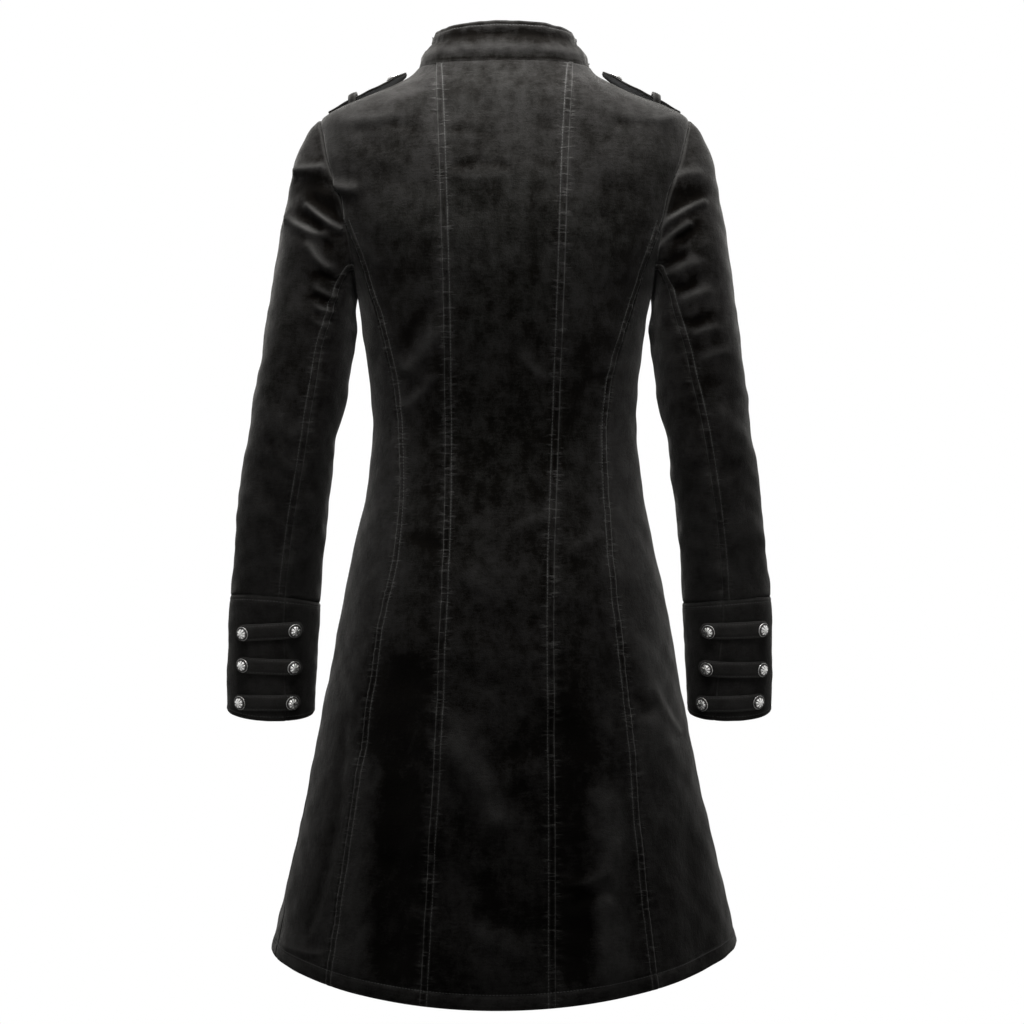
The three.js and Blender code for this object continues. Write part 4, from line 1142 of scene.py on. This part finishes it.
# Three straps lie across the back of each cuff, narrow tabs of velvet with round ends. Each is
# edge-stitched all round and held down by a button near either end.
# The buttons of each strap are placed by the turn round the sleeve and the way down it.
STRAPS = [
    {"side": "left", "number": 1, "outer": (58, 5.395), "inner": (119, 5.29)},
    {"side": "left", "number": 2, "outer": (59, 5.96), "inner": (120, 5.95)},
    {"side": "left", "number": 3, "outer": (57, 6.685), "inner": (120, 6.63)},
    {"side": "right", "number": 1, "outer": (50, 5.345), "inner": (117, 5.31)},
    {"side": "right", "number": 2, "outer": (51, 6.055), "inner": (121, 5.985)},
    {"side": "right", "number": 3, "outer": (58, 6.66), "inner": (129, 6.68)},
]
STRAP = {"half": 8.5, "thick": 2, "past": 11, "arch": 0.02, "stitch": 1.9, "lean": 0.95}
STRAP_SEED = 60
half_levels = np.array([0.25, 0.5, 0.69, 0.775, 0.86, 0.95, 1])
STRAP_LEVELS = np.concatenate([-half_levels[::-1], [0], half_levels])
sewn_lines["straps"] = []
button_seats = {}
for strap in STRAPS:
    side, sign = strap["side"], SIGN[strap["side"]]
    surface, _ = sleeve_surface(side)
    outer, inner = np.array(strap["outer"]), np.array(strap["inner"])
    ends = surface(np.array([outer, (outer + inner) / 2, inner]))
    span = np.linalg.norm(np.diff(ends, axis=0), axis=-1).sum()
    down = surface(placed(80, outer[1] + np.array([0, 0.1])))
    per_mm = 0.1 / np.linalg.norm(down[1] - down[0])
    length = span + 2 * STRAP["past"]
    near_end = np.array([0, 0.4, 1.2, 2.5, 4.2, 6.2])
    runs = np.concatenate([near_end, np.arange(8.5, length - 7.5, 2.2), length - near_end[::-1]])
    from_end = np.minimum(runs, length - runs)
    rounding = np.clip(1 - from_end / STRAP["half"], 0, 0.98)
    half = STRAP["half"] * np.sqrt(1 - rounding**2)
    levels = STRAP_LEVELS[:, None]
    share = (runs - STRAP["past"]) / span
    middle_line = lerp(outer, inner, share[:, None])
    arch = STRAP["arch"] * 4 * share * (1 - share)
    places = placed(middle_line[:, 0], middle_line[:, 1] - arch + levels * half * per_mm)
    plain = surface(places)
    normals = sleeve_normals(surface, places)
    inside = np.minimum((1 - np.abs(levels)) * half, from_end)
    rolled = -0.8 * peak(inside, 0, 0.8)
    thread = peak(inside, STRAP["stitch"], 0.8)
    waves = [(0.25, 16, STRAP_SEED + strap["number"])]
    padding = 0.5 * smoothstep(inside, 1.8, 4.5) + rumpled(plain, waves)
    base = CUFF["proud"] + 0.5 + SEAM_GAP + STRAP["thick"]
    away = base + rolled - 0.4 * thread + padding
    pressed = 0.2 + 0.6 * thread + 0.6 * peak(inside, 0.4, 0.6)
    points = mirrored(plain + normals * away[..., None], sign)
    outward = mirrored(normals, sign)
    name = f"{side}_{strap['number']}"
    piece = make_cloth("cuff_strap_" + name, points, outward, pressed, STRAP["thick"], lean=STRAP["lean"])
    declare(piece, plain, "cuff_strap_" + name)
    for row in (3, -4):
        sewn_lines["straps"].append((points[row, 3:-3], outward[row, 3:-3]))
    for end in ("outer", "inner"):
        seat = np.array(strap[end], float)
        normal = sleeve_normals(surface, seat)
        place = surface(seat) + normal * (base + 0.2)
        button_seats[f"cuff_button_{name}_{end}"] = (mirrored(place, sign), mirrored(normal, sign))

# The stand collar is a double band of velvet, sewn on round the neck. It rolls outwards above
# its seam, is drawn in below its top edge, and is stitched along that edge.
COLLAR = {
    "height": 40,
    "thick": 3,
    "roll": 2.6,
    "roll_at": 12,
    "hollow_at": 15,
    "end": 1.985,
    "side_lean": 0.5,
    "front_lean": 0.2,
}
COLLAR_BACK = {"height": 44, "lean": 0.27}
COLLAR_STITCH = 4.5
COLLAR_WAVES = [(0.45, 30, 31), (0.25, 11, 32)]
COLLAR_SEAM_SEED = 24
COLLAR_COLUMNS = 190
# How far up the collar its rows are, close together at its foot and round its stitching.
foot_rises = np.array([0, 0.7, 1.6, 3, 5, 7.5, 10, 12.5, 15, 17.5, 20, 22, 24, 26, 28, 30, 32])
edge_rises = np.array([33.6, 34.6, 35.5, 36.4, 37.6, 38.6, 39.4, 40])
collar_rises = np.concatenate([foot_rises, edge_rises])


def collar_surface(places):
    way, up = places[..., 0], places[..., 1]
    foot_places = neckline(np.abs(way), 1)
    foot_places[..., 1] += 1.3 * SEAM_GAP
    foot = ring_point(foot_places) * np.stack([np.where(way < 0, -1, 1), 1 + 0 * way, 1 + 0 * way], -1)
    inward = unit(foot * [-1, -1, 0])
    side = np.abs(foot[..., 0]) / NECK["half"]
    behind = foot[..., 1] > 0
    middle_lean = np.where(behind, COLLAR_BACK["lean"], COLLAR["front_lean"])
    middle_height = np.where(behind, COLLAR_BACK["height"], COLLAR["height"])
    lean = lerp(middle_lean, COLLAR["side_lean"], side**2)
    height = lerp(middle_height, COLLAR["height"], side**2)
    roll = peak(up, 0.3, 0.2) - peak(up, 0.66, 0.14)
    outward = COLLAR["roll"] * roll * np.sin(math.pi * up)
    rise = height / np.hypot(1, lean) * up
    return foot + np.stack([0 * rise, 0 * rise, rise], -1) + inward * (rise * lean - outward)[..., None]


ways = np.linspace(-COLLAR["end"], COLLAR["end"], COLLAR_COLUMNS)
places = placed(ways, (collar_rises / COLLAR["height"])[:, None])
plain = collar_surface(places)
near = np.stack([places[..., 0], np.clip(places[..., 1], 0.02, 0.98)], -1)
normals = normals_of(collar_surface, near, -0.01, 0.02)
run = collar_rises[:, None]
top_run = COLLAR["height"] - run
thread = peak(top_run, COLLAR_STITCH, 0.8)
away = -0.8 * peak(top_run, 0, 1.0) - 0.5 * thread - 0.3 * peak(run, 0, 1.2)
away = away + rumpled(plain, COLLAR_WAVES)
uneven = unevenness(plain, COLLAR_SEAM_SEED, 14)
pressed = 0.45 * thread + 0.5 * peak(top_run, 0.8, 0.8) + 0.2 * peak(run, 1.2, 1.0)
# The roll is also painted paler, a painted highlight carried with the pressed nap of the stitching.
pressed = uneven * (pressed + 0.2 * peak(run, COLLAR["roll_at"], 4))
# A painted highlight lies on the roll, and painted shade in the hollow above it and beside both seams.
lean = 0.38 + 0.34 * peak(run, COLLAR["roll_at"], 5) - 0.75 * peak(top_run, COLLAR["hollow_at"], 4.5)
lean = lean - 0.35 * peak(run, 2.5, 1.6) - 0.3 * peak(top_run, 2.6, 1.2)
points = plain + normals * away[..., None]
# Its lowest millimetre is drawn down over the seam, so that no light passes between.
points[..., 2] -= 1.2 * peak(run, 0, 2.5)
collar = make_cloth("collar", points, normals, pressed, COLLAR["thick"], lean=lean)
declare(collar, plain, "collar")
row = int(np.argmin(np.abs(top_run[:, 0] - COLLAR_STITCH)))
sewn_lines["collar"] = [(points[row], normals[row])]

# A shoulder strap lies along the top of each shoulder, from the armhole to a round tip near the
# neck, where its button is. It is two layers of velvet, stitched round the edge.
SHOULDER_STRAP = {
    "from": 178,
    "to": 98,
    "wide": 21,
    "narrow": 17,
    "thin": 1.8,
    "thick": 3.6,
    "tip": 12,
    "button": 13,
}
SHOULDER_STRAP_RISE = {"left": 4, "right": 5}
SHOULDER_STRAP_WAVES = [(0.3, 20, 50)]


def shoulder_height(x):
    """The height of the shoulder line at distances from the centre."""
    heights = np.linspace(ARMHOLE["top"], BODY["z"][-1], 600)
    return np.interp(x, half_at(heights)[::-1], heights[::-1])


def strap_underside(x, side):
    share = (SHOULDER_STRAP["from"] - x) / (SHOULDER_STRAP["from"] - SHOULDER_STRAP["to"])
    return shoulder_height(x) + SEAM_GAP + SHOULDER_STRAP_RISE[side] * smoothstep(share, 0.1, 1)


def strap_slope(x, side):
    return (strap_underside(x - 1, side) - strap_underside(x + 1, side)) / 2


strap_length = SHOULDER_STRAP["from"] - SHOULDER_STRAP["to"]
near_end = np.array([0, 0.6, 1.4, 2.4, 4, 6])
strap_middle = np.arange(8, strap_length - 7, 2.4)
strap_runs = np.concatenate([near_end, strap_middle, strap_length - near_end[::-1]])
for side, sign in SIGN.items():
    x = SHOULDER_STRAP["from"] - strap_runs
    from_tip = strap_length - strap_runs
    tip = np.clip(from_tip / SHOULDER_STRAP["tip"], 0, 1)
    point = lerp(0.35, 1, np.sqrt(tip))
    half = lerp(SHOULDER_STRAP["narrow"], SHOULDER_STRAP["wide"], from_tip / strap_length) * point
    slope = strap_slope(x, side)
    upward = unit(np.stack([slope, 0 * slope, 1 + 0 * slope], -1))
    levels = np.sign(STRAP_LEVELS) * np.abs(STRAP_LEVELS) ** 0.8
    plain = np.stack(np.broadcast_arrays(x, levels[:, None] * half, strap_underside(x, side)), -1)
    normals = np.broadcast_to(upward, plain.shape)
    inside = np.minimum((1 - np.abs(levels[:, None])) * half, np.minimum(from_tip, strap_runs))
    thread = peak(inside, 2.6, 0.9)
    thickening = smoothstep(strap_runs / strap_length, 0, 0.3)
    thick = lerp(SHOULDER_STRAP["thin"], SHOULDER_STRAP["thick"], thickening)
    away = thick + 1 - levels[:, None] ** 2 - 0.9 * peak(inside, 0, 1.0)
    away = away - 0.4 * thread + rumpled(plain, SHOULDER_STRAP_WAVES)
    pressed = 0.45 * thread + 0.35 * peak(inside, 0.5, 0.8)
    points = mirrored(plain + normals * away[..., None], sign)
    outward = mirrored(normals, sign)
    piece = make_cloth("shoulder_strap_" + side, points, outward, pressed, SHOULDER_STRAP["thin"])
    declare(piece, plain, "shoulder_strap_" + side)
    seat_x = SHOULDER_STRAP["to"] + SHOULDER_STRAP["button"]
    seat_normal = unit(np.array([strap_slope(seat_x, side), 0, 1]))
    under_seat = np.array([seat_x, 0, strap_underside(seat_x, side)])
    seat = under_seat + seat_normal * (SHOULDER_STRAP["thick"] + 1)
    button_seats["shoulder_button_" + side] = (mirrored(seat, sign), mirrored(seat_normal, sign))

# A narrow loop of velvet holds each shoulder strap down. It is sewn to the shoulder in front of
# the strap and behind it, and stands up off the strap between.
LOOP = {"at": 154, "width": 8, "thick": 2, "over": 3.5, "overhang": 2.5}


def cloth_height(x, y):
    """The height of the shoulder's cloth at a distance from the centre and from the shoulder line."""
    heights = np.linspace(-120, float(shoulder_height(x)), 800)
    share = np.clip(x / half_at(heights), 0, 1) ** roundness_at(heights)
    side_depth = back_at(heights) if y > 0 else front_at(heights)
    depth = side_depth * (1 - share) ** (1 / roundness_at(heights))
    return heights[np.argmax(depth < abs(y))]


for side, sign in SIGN.items():
    at, thick = LOOP["at"], LOOP["thick"]
    reach = SHOULDER_STRAP["wide"] + LOOP["overhang"]
    base = float(shoulder_height(at))
    crest = strap_underside(at, side) + SHOULDER_STRAP["thick"] + 1 + SEAM_GAP + LOOP["over"] - base
    feet = [cloth_height(at, y) + 1.2 * SEAM_GAP - base for y in (-reach - thick, reach + thick)]
    path = np.array([
        (-reach - thick, feet[0]),
        (-reach - thick + 0.2, crest * 0.5),
        (-reach * 0.88, crest * 0.95),
        (-reach * 0.4, crest + thick),
        (reach * 0.4, crest + thick),
        (reach * 0.88, crest * 0.95),
        (reach + thick - 0.2, crest * 0.5),
        (reach + thick, feet[1]),
    ])
    knots = {"n": np.arange(len(path), dtype=float), "y": path[:, 0], "z": path[:, 1]}
    where = np.linspace(0, len(path) - 1, 57)
    y, z = curve(knots, "n", "y")(where), curve(knots, "n", "z")(where)
    half = LOOP["width"] / 2
    tilt = float(shoulder_height(at - half) - shoulder_height(at + half)) / LOOP["width"]
    offsets = half * np.array([-1, -0.925, -0.775, -0.6, -0.3, 0, 0.3, 0.6, 0.775, 0.925, 1])
    x = offsets[:, None] + at
    plain = np.stack(np.broadcast_arrays(x, y, base + z - tilt * (x - at)), -1)
    outward_path = unit(np.stack([0 * y, -np.gradient(z), np.gradient(y)], -1))
    normals = np.broadcast_to(outward_path, plain.shape)
    inside = half - np.abs(offsets[:, None]) + 0 * y
    thread = peak(inside, 1.5, 0.6)
    away = -0.7 * peak(inside, 0, 0.7) - 0.25 * thread
    pressed = 0.4 * thread + 0.35 * peak(inside, 0, 0.7)
    points = mirrored(plain + normals * away[..., None], sign)
    piece = make_cloth("shoulder_loop_" + side, points, mirrored(normals, sign), pressed, thick)
    declare(piece, plain, "shoulder_loop_" + side)

# The stitches are short lengths of black thread, paler than the nap they lie in, which pass down
# through the cloth at both ends. One is modelled, and copied along each line of sewing.
STITCH = {"pitch": 3.2, "half": 1.2, "wide": 0.34, "high": 0.3}
THREAD = {"pale": (0.045, 0.044, 0.042), "dark": (0.012, 0.012, 0.011)}


def make_thread():
    material, start = new_material("thread")
    place = start.node("TexCoord", {}, {}, 3)
    twist = noise(start, place, 1500, 1.0)
    values = {
        "Base Color": twist.mixed(THREAD["dark"], THREAD["pale"]),
        "Roughness": 0.55 + 0.2 * twist,
        "Specular IOR Level": 0.4,
    }
    finish_material(start, values, twist, 0.0002)
    return material


thread_finish = make_thread()
bpy.ops.object.select_all(action="DESELECT")
bpy.ops.mesh.primitive_uv_sphere_add(segments=6, ring_count=4, radius=1)
pattern = bpy.context.object
bpy.ops.object.mode_set(mode="EDIT")
bpy.ops.transform.rotate(value=math.pi / 2, orient_axis="Y", center_override=(0, 0, 0))
bpy.ops.transform.resize(value=(STITCH["half"], STITCH["wide"], STITCH["high"]))
bpy.ops.object.mode_set(mode="OBJECT")
stitch_points = np.array([v.co for v in pattern.data.vertices])
stitch_faces = [list(face.vertices) for face in pattern.data.polygons]
bpy.data.objects.remove(pattern)


def along_line(run, values, at):
    """The values of a line's points at other lengths along it."""
    return np.stack([np.interp(at, run, values[:, i]) for i in range(3)], -1)


def sew(name, lines):
    """Copies the stitch along lines of points, each with the normals of its cloth."""
    corners, faces = [], []
    for points, normals in lines:
        steps = np.linalg.norm(np.diff(points, axis=0), axis=-1)
        run = np.append(0, np.cumsum(steps))
        places = np.arange(STITCH["pitch"] / 2, run[-1] - STITCH["half"], STITCH["pitch"])
        along = unit(along_line(run, points, places + 1) - along_line(run, points, places - 1))
        up = unit(along_line(run, normals, places))
        side = unit(np.cross(up, along))
        frames = np.stack([along, side, np.cross(along, side)], 1)
        made = along_line(run, points, places)[:, None] + stitch_points @ frames
        for one in made:
            count = len(corners) * len(stitch_points)
            faces += [[count + i for i in face] for face in stitch_faces]
            corners.append(one)
    piece = make_mesh(name, np.vstack(corners), faces, [thread_finish], {})
    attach(piece, "root")


for name, lines in sewn_lines.items():
    sew("stitches_" + name, lines)

# The buttons are domed discs of aged silver-coloured metal with a rim and a plain rosette in
# relief. One is modelled, and sewn on through its back at each place.
BUTTON = {"radius": 7.2, "height": 5.8, "petals": 8}
# From the rim to the middle, each step goes in by a share of the radius and up by one of the height.
BUTTON_DOME = [
    (0.07, 0.05),
    (0.06, -0.07),
    (0.03, 0.02),
    (0.08, 0.16),
    (0.12, 0.16),
    (0.14, 0.11),
    (0.14, 0.07),
    (0.1, 0.03),
    (0.06, 0.03),
    (0.05, -0.02),
    (0.06, 0.04),
]
FRONT_BUTTONS = {"count": 8, "first": -72, "step": 66}
SILVER = {"bright": (0.92, 0.915, 0.9), "worn": (0.66, 0.65, 0.63), "recess": (0.03, 0.028, 0.026)}


def make_silver():
    material, start = new_material("aged_silver")
    place = start.node("TexCoord", {}, {}, 3)
    cloud = noise(start, place, 420, 3.0, 0.6)
    scratch = noise(start, place, 2600, 2.0)
    recess = start.node("Attribute", {"attribute_name": "pressed"}, {}, 2)
    metal = cloud.mixed(SILVER["worn"], SILVER["bright"])
    values = {
        "Base Color": recess.mixed(metal, SILVER["recess"]),
        "Metallic": 1.0 - 0.7 * recess,
        "Roughness": 0.2 + 0.16 * cloud + 0.4 * recess,
    }
    finish_material(start, values, scratch + 0.5 * cloud, 0.00006)
    return material


silver = make_silver()


def select_faces(mesh, wanted):
    """Selects in edit mode the faces whose middle passes a test."""
    bpy.ops.mesh.select_all(action="DESELECT")
    bpy.ops.object.mode_set(mode="OBJECT")
    for face in mesh.polygons:
        face.select = wanted(face)
    bpy.ops.object.mode_set(mode="EDIT")


def model_button():
    radius, height = BUTTON["radius"] * MM, BUTTON["height"] * MM
    bpy.ops.object.select_all(action="DESELECT")
    bpy.ops.mesh.primitive_circle_add(vertices=48, radius=radius * 0.82, fill_type="NGON")
    button = bpy.context.object
    bpy.ops.object.mode_set(mode="EDIT")
    bpy.ops.mesh.select_all(action="SELECT")
    bpy.ops.mesh.extrude_region_move(TRANSFORM_OT_translate={"value": (0, 0, 0.25 * height)})
    bpy.ops.transform.resize(value=(1.21, 1.21, 1))
    bpy.ops.mesh.extrude_region_move(TRANSFORM_OT_translate={"value": (0, 0, 0.14 * height)})
    for inward, upward in BUTTON_DOME:
        bpy.ops.mesh.inset(thickness=inward * radius, depth=0)
        bpy.ops.transform.translate(value=(0, 0, upward * height))
    bpy.ops.mesh.normals_make_consistent(inside=False)
    turn = 2 * math.pi / BUTTON["petals"]

    def between_petals(face):
        x, y, z = face.center
        out = math.hypot(x, y) / radius
        return 0.25 < out < 0.8 and z > 0.3 * height and abs((math.atan2(y, x) / turn) % 1 - 0.5) < 0.18

    select_faces(button.data, between_petals)
    bpy.ops.mesh.inset(thickness=0.025 * radius, depth=-0.1 * height)
    bpy.ops.object.mode_set(mode="OBJECT")
    low = np.zeros(len(button.data.vertices))
    for face in button.data.polygons:
        x, y, z = face.center
        out = math.hypot(x, y) / radius
        if face.select or 0.79 < out < 0.9 and z > 0.3 * height:
            low[list(face.vertices)] = 1
    button.data.attributes.new("pressed", "FLOAT", "POINT").data.foreach_set("value", low)
    button.data.materials.append(silver)
    apply_modifier(button, "SUBSURF", levels=1, render_levels=1)
    smooth(button)
    return button


def front_surface_point(z):
    """The outside of the right front at its middle, where a button of the front is sewn on."""
    seat = placed(180.0, z)
    normal = normals_of(ring_point, seat, -0.3, 0.6)
    return ring_point(seat) + normal * OVERLAP_STEP, normal


for i in range(FRONT_BUTTONS["count"]):
    height = FRONT_BUTTONS["first"] - i * FRONT_BUTTONS["step"]
    button_seats[f"front_button_{i + 1}"] = front_surface_point(height)

button = model_button()
SPIN_SEED = 77
random = np.random.default_rng(SPIN_SEED)
for name, (place, normal) in button_seats.items():
    copy = bpy.data.objects.new(name + "_metal", button.data.copy())
    bpy.context.collection.objects.link(copy)
    spin = Matrix.Rotation(random.uniform(0, 2 * math.pi), 4, "Z")
    aim = Vector(normal).to_track_quat("Z", "Y").to_matrix().to_4x4()
    copy.data.transform(Matrix.Translation(Vector(place) * MM) @ aim @ spin)
    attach(copy, "root")
    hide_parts(name)
bpy.data.objects.remove(button)
